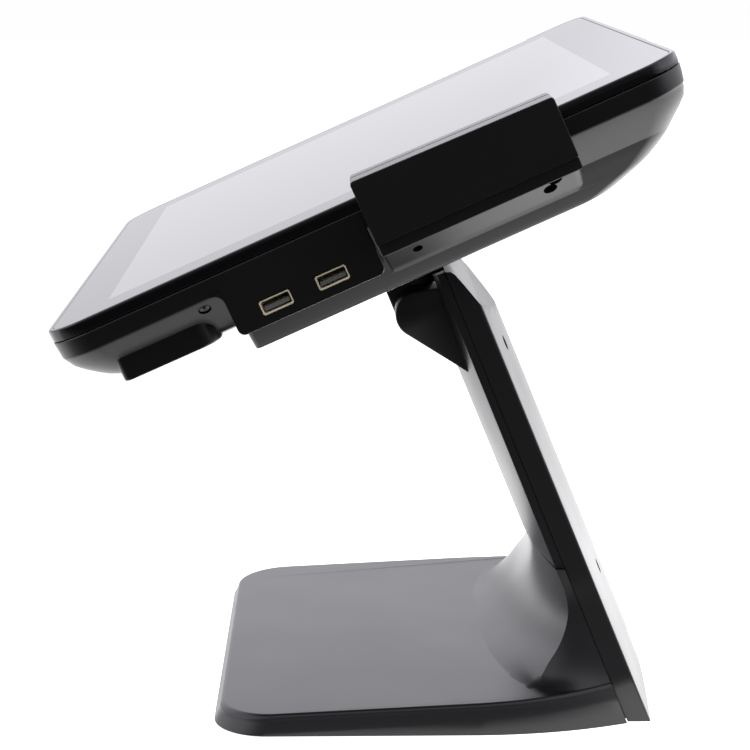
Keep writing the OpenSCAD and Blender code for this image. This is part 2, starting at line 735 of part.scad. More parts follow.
standoff_places = [for (x = [4, 166], y = [4, 146]) [board_lo[0] + x, board_lo[1] + y]];
module board_standoffs() {
    color("#c8a85a") in_head() for (p = standoff_places) {
        translate([p[0], p[1], board_n + 1.6]) cylinder(r = 2.6, h = chassis_n - board_n - 1.6, $fn = 6);
        translate([p[0], p[1], board_n - 1.4]) cylinder(r = 1.5, h = 3.2);
    }
}

fins = 11;
module heat_sink() {
    color("#b6b9bd") in_head() translate([-84, 26, board_n - 1.4]) {
        translate([-32, -30, -3.6]) cube([64, 60, 3.6]);
        for (i = [0 : fins - 1]) translate([-32 + i * 6.24, -30, -12]) cube([1.6, 60, 8.6]);
        translate([-14, -14, 0]) cube([28, 28, 1.3]);
    }
}

module memory_module() {
    color("#1c5a34") in_head() translate([-20, 27, board_n - 4]) {
        cube([50, 34.6, 1.2]);
        for (x = [3, 19, 35]) translate([x, 8, -1]) cube([12, 10, 1.1]);
    }
}

module coin_cell() {
    color("#c9ccd0") in_head() translate([8, -38, board_n - 5]) {
        cylinder(r = 10, h = 3.2);
        translate([-11, -4, 2.9]) cube([22, 8, 2]);
    }
}

module storage_drive() {
    color("#2f3136") in_head() translate([66, -24, -33.4]) cube([70, 100, 7]);
}

module drive_bracket() {
    color("#a7a9ad") in_head() difference() {
        union() {
            translate([62, -20, -26.2]) cube([78, 92, 1.2]);
            for (x = [62, 138.8]) translate([x, -20, -26]) cube([1.2, 92, 8.8]);
        }
        for (y = [0, 50]) translate([101, y, -30]) cylinder(r = 8, h = 10);
    }
}

module speakers() {
    color("#2a2a2c") in_head() for (side = [-1, 1]) translate([side * 145, -97.5, -29.6]) {
        plate(40, 28, 4, 4);
        cylinder(r = 12, h = 9);
    }
}

module speaker_grilles() {
    color("#141415") in_head() for (side = [-1, 1]) translate([side * 145, -97.5, -30.05]) plate(38, 26, 4, 0.4);
}

// ---- ports ----

// A receptacle's shell: a rectangular tube open at one end, along z.
module port_shell(w, h, depth, t) {
    difference() {
        translate([-w / 2, -h / 2, 0]) cube([w, h, depth]);
        translate([-w / 2 + t, -h / 2 + t, 1]) cube([w - 2 * t, h - 2 * t, depth]);
    }
}

module at_side_port(s) {
    in_head() translate([head_hw + 0.2, s, usb_n]) rotate([0, 90, 0]) rotate([0, 0, 90]) children();
}

module side_usb_shells() {
    color("#d2c39a") for (s = usb_s) at_side_port(s) translate([0, 0, -14]) port_shell(13.1, 5.7, 14, 0.4);
}

module side_usb_tongues() {
    color("#e8e8e6") for (s = usb_s) at_side_port(s) translate([-5.6, -1.7, -12.9]) cube([11.2, 1.9, 12]);
}

module side_usb_board() {
    color("#1c5a34") in_head() translate([164, -58, -34]) cube([1.6, 46, 20]);
}

// Ports on the step of the rear box face down the slope, towards the user.
io_n = -34.4;
module at_io(x) {
    in_head() translate([x, box_s, io_n]) rotate([90, 0, 0]) children();
}

io_usb_x = [-30, -14];
io_serial_x = [22, 60];
module io_plate() {
    color("#c0c2c5") difference() {
        at_io(0) translate([-116, -7, -wall - 1.2]) cube([232, 13, 0.9]);
        for (x = io_usb_x) at_io(x) translate([0, 0, -5]) cube([13.4, 6.1, 20], center = true);
        at_io(-62) cube([16.6, 12.2, 20], center = true);
        for (x = io_serial_x) at_io(x) cube([18.6, 9.6, 20], center = true);
        at_io(-96) cylinder(r = 5.2, h = 20, center = true);
    }
}

module rear_usb_shells() {
    color("#c9cbce") for (x = io_usb_x) at_io(x) translate([0, 0, -14.4]) port_shell(13.1, 5.7, 14, 0.4);
}

module rear_usb_tongues() {
    color("#2a2a2c") for (x = io_usb_x) at_io(x) translate([-5.6, -1.7, -13.3]) cube([11.2, 1.9, 12]);
}

module lan_jack() {
    color("#b9bbbe") at_io(-62) difference() {
        translate([-8, -5.8, -21]) cube([16, 11.6, 20.6]);
        translate([-5.9, -3.4, -15]) cube([11.8, 6.8, 20]);
        translate([-3, -5, -15]) cube([6, 3, 20]);
    }
}

module serial_ports() {
    color("#8b8d91") for (x = io_serial_x) at_io(x) {
        translate([-9, -4.5, -12]) cube([18, 9, 6]);
        translate([0, 0, -6.2]) linear_extrude(5.6) polygon([[-8.6, 4.2], [8.6, 4.2], [7.2, -4.2], [-7.2, -4.2]]);
    }
}

module power_inlet() {
    color("#161618") at_io(-96) {
        difference() {
            translate([0, 0, -12]) cylinder(r = 5, h = 11.6);
            translate([0, 0, -9]) cylinder(r = 3.2, h = 12);
        }
        translate([0, 0, -11.8]) cylinder(r = 1.1, h = 10, $fn = 24);
    }
}

// ---- power button ----

// Axis of the button: square to the sloping side, pointing out.
module in_button() {
    translate([button_x, button_s, button_n]) rotate([0, button_tilt + 90, 0]) children();
}

module power_button() {
    color("#3a3a3d") in_head() in_button() {
        translate([0, 0, -3.6]) cylinder(r = button_r, h = 3.2, $fn = 32);
        translate([0, 0, -4.6]) cylinder(r = button_r + 1, h = 1, $fn = 32);
    }
}

module power_switch() {
    color("#4c4d50") in_head() in_button() translate([0, 0, -10]) {
        translate([-3, -3, 0]) cube([6, 6, 3.4]);
        cylinder(r = 1.5, h = 4.4, $fn = 24);
    }
}

// ---- card reader ----

reader_in = head_hw + 0.4;
reader_out = head_hw + reader_x;
slot_x = head_hw + 9.4;
reader_low_n = -23.7;
cover_low_n = -18.6;
reader_drop = 1.8;
reader_r = 2;
// A slab between two distances across the head, inset by d, whose top drops towards the far end.
module reader_slab(x0, x1, low, d) {
    translate([x0, 0, 0]) rotate([90, 0, 90]) linear_extrude(x1 - x0) hull() {
        translate([d + reader_r, reader_up - d - reader_r]) circle(r = reader_r, $fn = hull_fn);
        translate([reader_l - d - reader_r, reader_up - reader_drop - d - reader_r])
            circle(r = reader_r, $fn = hull_fn);
        translate([d - 1, low + d]) square([1, 1]);
        translate([reader_l - d, low + d]) square([1, 1]);
    }
}

module reader_body() {
    color("#17171a") in_head() difference() {
        union() {
            reader_slab(reader_in, slot_x, reader_low_n, 0);
            translate([reader_in, 0, reader_low_n])
                cube([reader_x - 2, reader_l, cover_low_n - reader_low_n - gap]);
        }
        for (s = reader_screw_s) translate([reader_in - 1, s, reader_screw_n]) rotate([0, 90, 0])
            cylinder(r = 1.25, h = 7);
    }
}

head_window_s = 40;
head_window_n = -1;
module reader_cover() {
    color("#17171a") in_head() difference() {
        reader_slab(slot_x + swipe_w, reader_out, cover_low_n, 0);
        reader_slab(slot_x + swipe_w + 1.6, reader_out - 2, cover_low_n, 2);
        translate([slot_x, head_window_s - 6.3, head_window_n - 5.3]) cube([6, 12.6, 10.6]);
    }
}

module reader_head() {
    color("#b4b6ba") in_head() {
        translate([slot_x + 0.5, head_window_s, head_window_n]) intersection() {
            translate([0, -6, -5]) cube([7, 12, 10]);
            translate([9, 0, -6]) cylinder(r = 9, h = 12);
        }
        translate([slot_x + 6.9, head_window_s - 14, head_window_n - 3]) cube([0.5, 28, 6]);
    }
}

module reader_board() {
    color("#1c5a34") in_head() translate([slot_x + 9.4, 6, -14]) cube([1.6, 74, 16]);
}

module reader_screws() {
    color("#8f9094") in_head() for (s = reader_screw_s)
        translate([head_hw - 3, s, reader_screw_n]) rotate([0, -90, 0]) screw(1.25, 8.6, 2.8, 1.4);
}

base_shell();
base_weight();
weight_screws();
base_cover_plate();
base_feet();
base_screws();
arm_front_cover();
hinge_housing();
arm_rear_cover();
rear_cover_screws();
arm_spine();
spine_screws();
hinge_ears();
tilt_shaft();
friction_washers();
spring_washers();
shaft_nuts();
neck_cover();
tilt_bracket();
tilt_bracket_screws();
hinge_pillars();
back_cover();
back_cover_screws();
chassis_plate();
lcd_panel();
lcd_screws();
front_bezel();
glass_tape();
touch_glass();
touch_controller();
main_board();
board_standoffs();
heat_sink();
memory_module();
coin_cell();
storage_drive();
drive_bracket();
speakers();
speaker_grilles();
side_usb_shells();
side_usb_tongues();
side_usb_board();
io_plate();
rear_usb_shells();
rear_usb_tongues();
lan_jack();
serial_ports();
power_inlet();
power_button();
power_switch();
reader_body();
reader_cover();
reader_board();
reader_head();
reader_screws();
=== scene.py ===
import json
import math

import bmesh
import bpy
from mathutils import Matrix, Vector


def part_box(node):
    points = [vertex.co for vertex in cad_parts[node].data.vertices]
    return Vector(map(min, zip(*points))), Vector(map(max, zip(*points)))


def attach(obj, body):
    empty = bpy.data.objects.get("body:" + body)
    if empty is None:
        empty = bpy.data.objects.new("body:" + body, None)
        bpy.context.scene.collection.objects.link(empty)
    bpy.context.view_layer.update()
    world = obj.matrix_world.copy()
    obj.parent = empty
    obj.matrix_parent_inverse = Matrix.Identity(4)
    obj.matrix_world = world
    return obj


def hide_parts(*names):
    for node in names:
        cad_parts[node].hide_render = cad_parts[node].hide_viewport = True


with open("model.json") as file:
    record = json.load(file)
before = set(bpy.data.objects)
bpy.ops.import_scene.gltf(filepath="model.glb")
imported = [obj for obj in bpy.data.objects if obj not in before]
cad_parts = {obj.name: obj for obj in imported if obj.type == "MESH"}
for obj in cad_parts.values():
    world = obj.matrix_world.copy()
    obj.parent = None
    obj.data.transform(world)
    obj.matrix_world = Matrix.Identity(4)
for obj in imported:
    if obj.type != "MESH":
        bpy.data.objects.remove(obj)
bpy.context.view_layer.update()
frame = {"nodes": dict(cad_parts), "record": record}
NODES = frame["nodes"]
RECORD = frame["record"]
MM = 0.001
WALL = 2.4
WELD = 0.0005
FAR = 200.0


# ---- frames of the head and of the arm, in millimetres ----

REST_TILT = math.radians(24.15)
LEAN = math.radians(22.4)
GLASS_T = 3.0


def centre(node):
    """Middle of a CAD node's box, in metres."""
    low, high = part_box(node)
    return (Vector(low) + Vector(high)) / 2


def head_frame():
    """Matrix from (across, up the slope, out of the glass) in mm to the scene."""
    turn = Matrix.Rotation(REST_TILT, 4, "X")
    origin = centre("touch_glass") + turn @ Vector((0, 0, GLASS_T / 2 * MM))
    return Matrix.Translation(origin) @ turn @ Matrix.Scale(MM, 4)


HEAD = head_frame()
ARM = Matrix.Rotation(LEAN, 4, "X") @ Matrix.Scale(MM, 4)
ROOM = Matrix.Scale(MM, 4)
AXIS = centre("tilt_shaft")
AXIS_IN_ARM = ARM.inverted() @ AXIS
AXIS_IN_HEAD = HEAD.inverted() @ AXIS


# ---- camera, light and floor ----

CAMERA_AT = Vector((1.0408, -0.0407, 0.3600))
CAMERA_LOOK = Vector((-0.9789, 0.0144, -0.2040))
LENS = 103.4
SENSOR = 36.0

# Stops of tone. Through the room from the far side to the camera's side, and up its walls from straight
# down at 0 to straight up at 1.
ROOM_TONES = [(0.40, 1.0), (0.80, 0.11)]
WALL_TONES = [(0.50, (0.50, 0.495, 0.52)), (0.555, (0.54, 0.535, 0.565)), (0.60, (0.92, 0.91, 0.985)),
              (0.80, (0.80, 0.79, 0.84)), (1.0, 0.5)]
ROOM_LIGHT = 2.0

# Along the table, over TABLE_LENGTH from the far side to the camera's side, and across it over one metre
# from the terminal's front to its back.
TABLE_HALF = 6.0
TABLE_LENGTH = 1.6
TABLE_TONES = [(0.0, 0.62), (0.35, 0.8), (0.585, 0.8), (0.63, 0.42), (0.75, 0.1), (0.9, 0.02)]
TABLE_SIDES = [(0.36, 0.45), (0.64, 1.0)]
TABLE_LIGHT = 2.4


def make_camera():
    """A long lens on the user's right, looking a little down."""
    data = bpy.data.cameras.new("camera")
    data.lens = LENS
    data.sensor_width = SENSOR
    data.clip_start = 0.05
    data.clip_end = 60
    camera = bpy.data.objects.new("camera", data)
    camera.location = CAMERA_AT
    camera.rotation_euler = CAMERA_LOOK.to_track_quat("-Z", "Y").to_euler()
    bpy.context.scene.collection.objects.link(camera)
    bpy.context.scene.camera = camera
    bpy.context.scene.view_settings.view_transform = "Standard"


def ramp_of(tree, source, stops):
    """A colour ramp through (place, grey or colour) stops."""
    ramp = tree.nodes.new("ShaderNodeValToRGB")
    while len(ramp.color_ramp.elements) < len(stops):
        ramp.color_ramp.elements.new(0.5)
    for element, (place, color) in zip(ramp.color_ramp.elements, stops):
        element.position = place
        element.color = (*color, 1) if isinstance(color, tuple) else (color, color, color, 1)
    tree.links.new(source, ramp.inputs["Fac"])
    return ramp.outputs["Color"]


def math_node(tree, operation, *values):
    """A maths node whose inputs are numbers or the outputs of other nodes."""
    node = tree.nodes.new("ShaderNodeMath")
    node.operation = operation
    for socket, value in zip(node.inputs, values):
        if isinstance(value, (int, float)):
            socket.default_value = value
        else:
            tree.links.new(value, socket)
    return node.outputs[0]


def axes_of(tree, coordinates):
    """The X, Y and Z outputs of one kind of texture coordinates."""
    place = tree.nodes.new("ShaderNodeTexCoord")
    split = tree.nodes.new("ShaderNodeSeparateXYZ")
    tree.links.new(place.outputs[coordinates], split.inputs[0])
    return split.outputs


def multiplied(tree, first, second):
    """The product of two colours."""
    node = tree.nodes.new("ShaderNodeMix")
    node.data_type = "RGBA"
    node.blend_type = "MULTIPLY"
    node.inputs[0].default_value = 1
    tree.links.new(first, node.inputs[6])
    tree.links.new(second, node.inputs[7])
    return node.outputs[2]


def make_world():
    """A white studio that gets dark towards the camera's side."""
    world = bpy.data.worlds.new("studio")
    bpy.context.scene.world = world
    world.use_nodes = True
    tree = world.node_tree
    tree.nodes.clear()
    out = tree.nodes.new("ShaderNodeOutputWorld")
    background = tree.nodes.new("ShaderNodeBackground")
    axes = axes_of(tree, "Generated")
    front = ramp_of(tree, axes["X"], ROOM_TONES)
    wall = ramp_of(tree, math_node(tree, "MULTIPLY_ADD", axes["Z"], 0.5, 0.5), WALL_TONES)
    tree.links.new(multiplied(tree, front, wall), background.inputs["Color"])
    background.inputs["Strength"].default_value = ROOM_LIGHT
    tree.links.new(background.outputs[0], out.inputs["Surface"])


def make_floor():
    """A lit table that fades out towards the camera."""
    mesh = bpy.data.meshes.new("floor")
    corners = [(x * TABLE_HALF, y * TABLE_HALF, 0) for x, y in ((-1, -1), (1, -1), (1, 1), (-1, 1))]
    mesh.from_pydata(corners, [], [(0, 1, 2, 3)])
    floor = bpy.data.objects.new("floor", mesh)
    bpy.context.scene.collection.objects.link(floor)
    material, tree, shader = new_material("floor", (0.5, 0.5, 0.5), 0.9, Specular_IOR_Level=0.0)
    axes = axes_of(tree, "Object")
    along = ramp_of(tree, math_node(tree, "MULTIPLY_ADD", axes["X"], 1 / TABLE_LENGTH, 0.5), TABLE_TONES)
    sideways = ramp_of(tree, math_node(tree, "MULTIPLY_ADD", axes["Y"], 1.0, 0.5), TABLE_SIDES)
    tree.links.new(multiplied(tree, along, sideways), shader.inputs["Emission Color"])
    shader.inputs["Emission Strength"].default_value = TABLE_LIGHT
    tree.links.new(multiplied(tree, along, along), shader.inputs["Base Color"])
    mesh.materials.append(material)


# ---- materials ----

FINE_GRAIN = 1900
COARSE_GRAIN = 520
WEAR = 22
VIEW_W = 304.1
VIEW_L = 228.1
# Painted glow: the black printed border under the glass is given this faint emission of its own.
BORDER_LIGHT = (0.006, 0.006, 0.007)
SCREEN_LIGHT = (0.11, 0.11, 0.11 * 1.03)


def new_material(name, color, rough, metal=0.0, **values):
    """A Principled material with constant values set on its own sockets."""
    material = bpy.data.materials.new(name)
    material.use_nodes = True
    shader = material.node_tree.nodes["Principled BSDF"]
    shader.inputs["Base Color"].default_value = (*color, 1)
    shader.inputs["Roughness"].default_value = rough
    shader.inputs["Metallic"].default_value = metal
    for socket, value in values.items():
        shader.inputs[socket.replace("_", " ")].default_value = value
    return material, material.node_tree, shader


def object_noise(tree, scale, detail=2.0, stretch=(1, 1, 1)):
    """Noise fixed to the object, finer along the stretched axes."""
    place = tree.nodes.new("ShaderNodeTexCoord")
    mapping = tree.nodes.new("ShaderNodeMapping")
    mapping.inputs["Scale"].default_value = stretch
    noise = tree.nodes.new("ShaderNodeTexNoise")
    noise.inputs["Scale"].default_value = scale
    noise.inputs["Detail"].default_value = detail
    tree.links.new(place.outputs["Object"], mapping.inputs["Vector"])
    tree.links.new(mapping.outputs["Vector"], noise.inputs["Vector"])
    return noise.outputs["Fac"]


def vary(tree, source, low, high, socket):
    """Varies a socket between two values with the middle of a noise's range."""
    span = tree.nodes.new("ShaderNodeMapRange")
    span.inputs["From Min"].default_value = 0.3
    span.inputs["From Max"].default_value = 0.7
    span.inputs["To Min"].default_value = low
    span.inputs["To Max"].default_value = high
    tree.links.new(source, span.inputs["Value"])
    tree.links.new(span.outputs["Result"], socket)


def mix_colors(tree, source, dark, light, socket):
    """Mixes two colours with the middle of a noise's range."""
    tree.links.new(ramp_of(tree, source, [(0.35, dark), (0.65, light)]), socket)


def add_bump(tree, shader, source, depth_mm, strength, chain=None):
    """Relief of the shader's surface, on top of an earlier bump if one is given."""
    bump = tree.nodes.new("ShaderNodeBump")
    bump.inputs["Strength"].default_value = strength
    bump.inputs["Distance"].default_value = depth_mm * MM
    tree.links.new(source, bump.inputs["Height"])
    if chain:
        tree.links.new(chain.outputs["Normal"], bump.inputs["Normal"])
    tree.links.new(bump.outputs["Normal"], shader.inputs["Normal"])
    return bump


def moulded_plastic(name, color, rough, grain=0.008, spread=0.02):
    """Black moulded plastic with a fine spark-eroded texture and slight handling marks."""
    material, tree, shader = new_material(name, color, rough, IOR=1.5)
    fine = object_noise(tree, FINE_GRAIN, 3)
    coarse = object_noise(tree, COARSE_GRAIN, 2)
    broad = object_noise(tree, WEAR, 3)
    vary(tree, broad, rough - spread, rough + spread, shader.inputs["Roughness"])
    lighter = tuple(c * 1.25 for c in color)
    mix_colors(tree, fine, color, lighter, shader.inputs["Base Color"])
    first = add_bump(tree, shader, coarse, grain * 1.4, 0.6)
    add_bump(tree, shader, fine, grain, 0.8, first)
    return material


def gloss_plastic(name, color):
    """Polished plastic, with a hint of waviness."""
    material, tree, shader = new_material(name, color, 0.09, IOR=1.5)
    broad = object_noise(tree, 30, 2)
    vary(tree, broad, 0.06, 0.13, shader.inputs["Roughness"])
    add_bump(tree, shader, object_noise(tree, 60, 1), 0.02, 0.25)
    return material


def brushed_metal(name, color, rough, stretch=(1, 40, 40)):
    """Bare metal with fine lines along X, or even grain where nothing is stretched."""
    material, tree, shader = new_material(name, color, rough, metal=1.0)
    lines = object_noise(tree, 260, 3, stretch)
    vary(tree, lines, rough - 0.08, rough + 0.1, shader.inputs["Roughness"])
    darker = tuple(c * 0.8 for c in color)
    mix_colors(tree, lines, darker, color, shader.inputs["Base Color"])
    add_bump(tree, shader, lines, 0.004, 0.4)
    return material


def bright_rim(name, color):
    """Bright tin plate, dulled enough to catch the light of the whole room."""
    material, tree, shader = new_material(name, color, 0.45, metal=0.15)
    vary(tree, object_noise(tree, 300, 2), 0.4, 0.55, shader.inputs["Roughness"])
    return material


def rubber(name):
    """Matt black rubber with a fine grain."""
    material, tree, shader = new_material(name, (0.012, 0.012, 0.013), 0.75, IOR=1.45)
    grain = object_noise(tree, 900, 4)
    mix_colors(tree, grain, (0.008, 0.008, 0.009), (0.02, 0.02, 0.021), shader.inputs["Base Color"])
    add_bump(tree, shader, grain, 0.02, 0.6)
    return material


def circuit_board(name):
    """Green solder mask with faint darker tracks."""
    material, tree, shader = new_material(name, (0.02, 0.11, 0.045), 0.35, IOR=1.5)
    place = tree.nodes.new("ShaderNodeTexCoord")
    bricks = tree.nodes.new("ShaderNodeTexBrick")
    bricks.inputs["Scale"].default_value = 90
    bricks.inputs["Mortar Size"].default_value = 0.012
    bricks.inputs["Color1"].default_value = (0.014, 0.09, 0.038, 1)
    bricks.inputs["Color2"].default_value = (0.018, 0.105, 0.045, 1)
    bricks.inputs["Mortar"].default_value = (0.03, 0.17, 0.07, 1)
    tree.links.new(place.outputs["Object"], bricks.inputs["Vector"])
    tree.links.new(bricks.outputs["Color"], shader.inputs["Base Color"])
    return material


def speaker_cloth(name):
    """Black woven cloth."""
    material, tree, shader = new_material(name, (0.01, 0.01, 0.01), 0.9)
    place = tree.nodes.new("ShaderNodeTexCoord")
    weave = tree.nodes.new("ShaderNodeTexVoronoi")
    weave.inputs["Scale"].default_value = 1400
    tree.links.new(place.outputs["Object"], weave.inputs["Vector"])
    mix_colors(tree, weave.outputs["Distance"], (0.004, 0.004, 0.004), (0.03, 0.03, 0.03),
               shader.inputs["Base Color"])
    add_bump(tree, shader, weave.outputs["Distance"], 0.1, 0.8)
    return material


def touch_glass():
    """Glass over a black printed border with a faint painted glow, and an evenly lit blank display."""
    material, tree, shader = new_material("touch_glass", (0.004, 0.004, 0.005), 0.035, IOR=1.52)
    place = tree.nodes.new("ShaderNodeTexCoord")
    mapping = tree.nodes.new("ShaderNodeMapping")
    mapping.vector_type = "TEXTURE"
    mapping.inputs["Location"].default_value = HEAD.to_translation()
    mapping.inputs["Rotation"].default_value = (REST_TILT, 0, 0)
    split = tree.nodes.new("ShaderNodeSeparateXYZ")
    tree.links.new(place.outputs["Object"], mapping.inputs["Vector"])
    tree.links.new(mapping.outputs["Vector"], split.inputs[0])

    def inside(axis, half):
        return math_node(tree, "LESS_THAN", math_node(tree, "ABSOLUTE", split.outputs[axis]), half * MM)

    both = math_node(tree, "MULTIPLY", inside("X", VIEW_W / 2), inside("Y", VIEW_L / 2))
    # Emission: a faint painted glow on the printed border, and the display's even glow inside it.
    glow = ramp_of(tree, both, [(0.0, BORDER_LIGHT), (0.5, SCREEN_LIGHT)])
    glow.node.color_ramp.interpolation = "CONSTANT"
    tree.links.new(glow, shader.inputs["Emission Color"])
    shader.inputs["Emission Strength"].default_value = 1.0
    vary(tree, object_noise(tree, 14, 2), 0.025, 0.06, shader.inputs["Roughness"])
    return material


def make_materials():
    """One material for each material slot of the record."""
    return {
        "black_texture": moulded_plastic("black_texture", (0.0075, 0.0075, 0.008), 0.31),
        "base_black": moulded_plastic("base_black", (0.0075, 0.0073, 0.0082), 0.30, 0.006, 0.015),
        "gloss_black": gloss_plastic("gloss_black", (0.005, 0.005, 0.006)),
        "reader_black": moulded_plastic("reader_black", (0.0075, 0.0075, 0.008), 0.33),
        "touch_glass": touch_glass(),
        "display": brushed_metal("display", (0.55, 0.55, 0.56), 0.45),
        "steel": brushed_metal("steel", (0.55, 0.55, 0.56), 0.35),
        "painted_steel": moulded_plastic("painted_steel", (0.03, 0.03, 0.031), 0.5),
        "cast_weight": brushed_metal("cast_weight", (0.18, 0.18, 0.19), 0.6, (1, 1, 1)),
        "rubber": rubber("rubber"),
        "screw_steel": brushed_metal("screw_steel", (0.42, 0.42, 0.43), 0.32, (1, 1, 1)),
        "bright_steel": brushed_metal("bright_steel", (0.72, 0.72, 0.74), 0.22),
        "bronze": brushed_metal("bronze", (0.55, 0.36, 0.14), 0.35, (1, 1, 1)),
        "board": circuit_board("board"),
        "aluminium": brushed_metal("aluminium", (0.78, 0.79, 0.8), 0.35),
        "drive": moulded_plastic("drive", (0.03, 0.03, 0.033), 0.45),
        "port_shell": bright_rim("port_shell", (0.95, 0.86, 0.62)),
        "port_white": moulded_plastic("port_white", (0.16, 0.16, 0.16), 0.4, 0.002),
        "port_black": moulded_plastic("port_black", (0.012, 0.012, 0.013), 0.5),
        "cloth": speaker_cloth("cloth"),
        "button_grey": moulded_plastic("button_grey", (0.006, 0.006, 0.0065), 0.25),
    }


# ---- mesh helpers ----

SHARP = math.radians(32)


def cleaned(bm):
    """Welds points that coincide and turns the faces outwards."""
    bmesh.ops.remove_doubles(bm, verts=bm.verts, dist=WELD)
    bmesh.ops.recalc_face_normals(bm, faces=bm.faces)
    return bm


def finish_mesh(bm, name, slot, matrix, sharp=SHARP):
    """Turns a bmesh in millimetres into a smooth-shaded piece."""
    cleaned(bm)
    for face in bm.faces:
        face.smooth = True
    for edge in bm.edges:
        edge.smooth = len(edge.link_faces) != 2 or edge.calc_face_angle(0) < sharp
    mesh = bpy.data.meshes.new(name)
    bm.to_mesh(mesh)
    bm.free()
    mesh.transform(matrix)
    mesh.materials.append(MATERIALS[slot])
    piece = bpy.data.objects.new(name, mesh)
    bpy.context.scene.collection.objects.link(piece)
    return piece


def loft(rings, tube=False):
    """A closed skin through rings of points, given in order: capped, or a tube back to the first ring."""
    bm = bmesh.new()
    rows = [[bm.verts.new(p) for p in ring] for ring in rings]
    if tube:
        rows.append(rows[0])
    count = len(rows[0])
    for lower, upper in zip(rows, rows[1:]):
        for i in range(count):
            j = (i + 1) % count
            bm.faces.new((lower[i], lower[j], upper[j], upper[i]))
    if not tube:
        bm.faces.new(list(reversed(rows[0])))
        bm.faces.new(rows[-1])
    return bm


def temp_object(bm):
    """An object for a modifier to work on; it uses up the bmesh."""
    mesh = bpy.data.meshes.new("temp")
    cleaned(bm).to_mesh(mesh)
    bm.free()
    made = bpy.data.objects.new("temp", mesh)
    bpy.context.scene.collection.objects.link(made)
    return made


def combine(first, others, operation):
    """Boolean of one bmesh with several, as a new bmesh."""
    base = temp_object(first)
    parts = [temp_object(other) for other in others]
    for part in parts:
        modifier = base.modifiers.new("combine", "BOOLEAN")
        modifier.operation = operation
        modifier.solver = "EXACT"
        modifier.object = part
    shown = base.evaluated_get(bpy.context.evaluated_depsgraph_get())
    result = bmesh.new()
    result.from_mesh(shown.to_mesh())
    shown.to_mesh_clear()
    for made in [base] + parts:
        mesh = made.data
        bpy.data.objects.remove(made)
        bpy.data.meshes.remove(mesh)
    return result


def weigh_normals(piece):
    """Keeps large faces flat where small ones meet them."""
    modifier = piece.modifiers.new("weigh", "WEIGHTED_NORMAL")
    modifier.keep_sharp = True
    modifier.weight = 60
    return piece


def box_bm(low, high):
    """A box between two corners."""
    sides = ((low[0], low[1]), (high[0], low[1]), (high[0], high[1]), (low[0], high[1]))
    return loft([[(x, y, z) for x, y in sides] for z in (low[2], high[2])])


def prism(outline, place, depth):
    """Extrudes a 2-D outline: place(a, b, h) gives the point at h from 0 to depth."""
    return loft([[place(a, b, h) for a, b in outline] for h in (0, depth)])


def rounded_box_outline(a0, b0, a1, b1, radii, steps=6):
    """A rectangle whose corners have radii (a0b0, a1b0, a1b1, a0b1)."""
    corners = ((a0, b0, 180), (a1, b0, 270), (a1, b1, 0), (a0, b1, 90))
    points = []
    for (a, b, start), r in zip(corners, radii):
        sign_a = 1 if a == a0 else -1
        sign_b = 1 if b == b0 else -1
        for i in range(steps + 1 if r > 0 else 1):
            t = math.radians(start + 90 * i / steps)
            points.append((a + sign_a * r + r * math.cos(t), b + sign_b * r + r * math.sin(t)))
    return points


def corner_ring(hw, low, high, r_low, r_high, n):
    """A rounded rectangle across the head at height n, with its corner radii at the low and high end."""
    ring = rounded_box_outline(-hw, low, hw, high, (r_low, r_low, r_high, r_high), 14)
    return [(a, b, n) for a, b in ring]


def circle_ring(radius, z, sides, at=(0, 0)):
    turns = [2 * math.pi * i / sides for i in range(sides)]
    return [(at[0] + radius * math.cos(t), at[1] + radius * math.sin(t), z) for t in turns]


def disc_bm(radius, z0, z1, sides=32, at=(0, 0)):
    return loft([circle_ring(radius, z, sides, at) for z in (z0, z1)])


def turned(profile, sides=40):
    """A turned shape from (radius, height) points, from the bottom to the top."""
    return loft([circle_ring(r, z, sides) for r, z in profile])


def move_bm(bm, matrix):
    bmesh.ops.transform(bm, matrix=matrix, verts=bm.verts)
    return bm


def joined(parts):
    """One bmesh of several loose parts."""
    result = bmesh.new()
    for part in parts:
        mesh = bpy.data.meshes.new("part")
        part.to_mesh(mesh)
        part.free()
        result.from_mesh(mesh)
        bpy.data.meshes.remove(mesh)
    return result


def smooth_between(rows, parts=4):
    """Catmull-Rom values between rows of numbers."""
    result = []
    for k in range(len(rows) - 1):
        p0 = rows[max(k - 1, 0)]
        p1, p2 = rows[k], rows[k + 1]
        p3 = rows[min(k + 2, len(rows) - 1)]
        for i in range(parts):
            t = i / parts
            result.append([0.5 * (2 * b + (c - a) * t + (2 * a - 5 * b + 4 * c - d) * t * t
                                  + (3 * b - a - 3 * c + d) * t ** 3)
                           for a, b, c, d in zip(p0, p1, p2, p3)])
    result.append(list(rows[-1]))
    return result


# ---- base casting ----

BASE_HW = 119.5
BASE_FRONT = 101.2
BASE_REAR = 103.0
FRONT_R = 25.0
SIDE_START = 15.0
REAR_CORNER = 95.0
REAR_TAPER = 17.0
FOOT_H = 1.0
FRONT_TOP = 8.8
BASE_SLOPE = 0.05
RIM_RISE = 2.2
V_FRONT = 79.0
V_SEAM = 83.0
SWEEP_R = 37.4
SWEEP_START = -math.pi / 2 + math.atan(BASE_SLOPE)
FOOT_ARC = math.radians(50.2)
SLAB_OVERLAP = 0.02
POCKET_TOP = 3.1
POCKET_INSET = 2.6
FRONT_CROWN = 8.6
REAR_CROWN = 6.3
ARM_LOW_HW = 90.0
ARM_TOP_HW = 58.0
ARM_TOP_U = 187.0
ROOT_U = 34.0
CREASE_U = -12.6
JUNCTION_Z = 70.0
SEAM_FLARE = 13.0
ROOT_FLARE = 11.0
FOOT_SHIFT = 11.5
EDGE_SHIFT = 1.8
FLANK_BULGE = 8.5
ARM_BACK_V = V_FRONT + 14
SEAM_HALF = 0.2
COS_L = math.cos(LEAN)
SIN_L = math.sin(LEAN)


def clamped(value):
    return max(0.0, min(1.0, value))


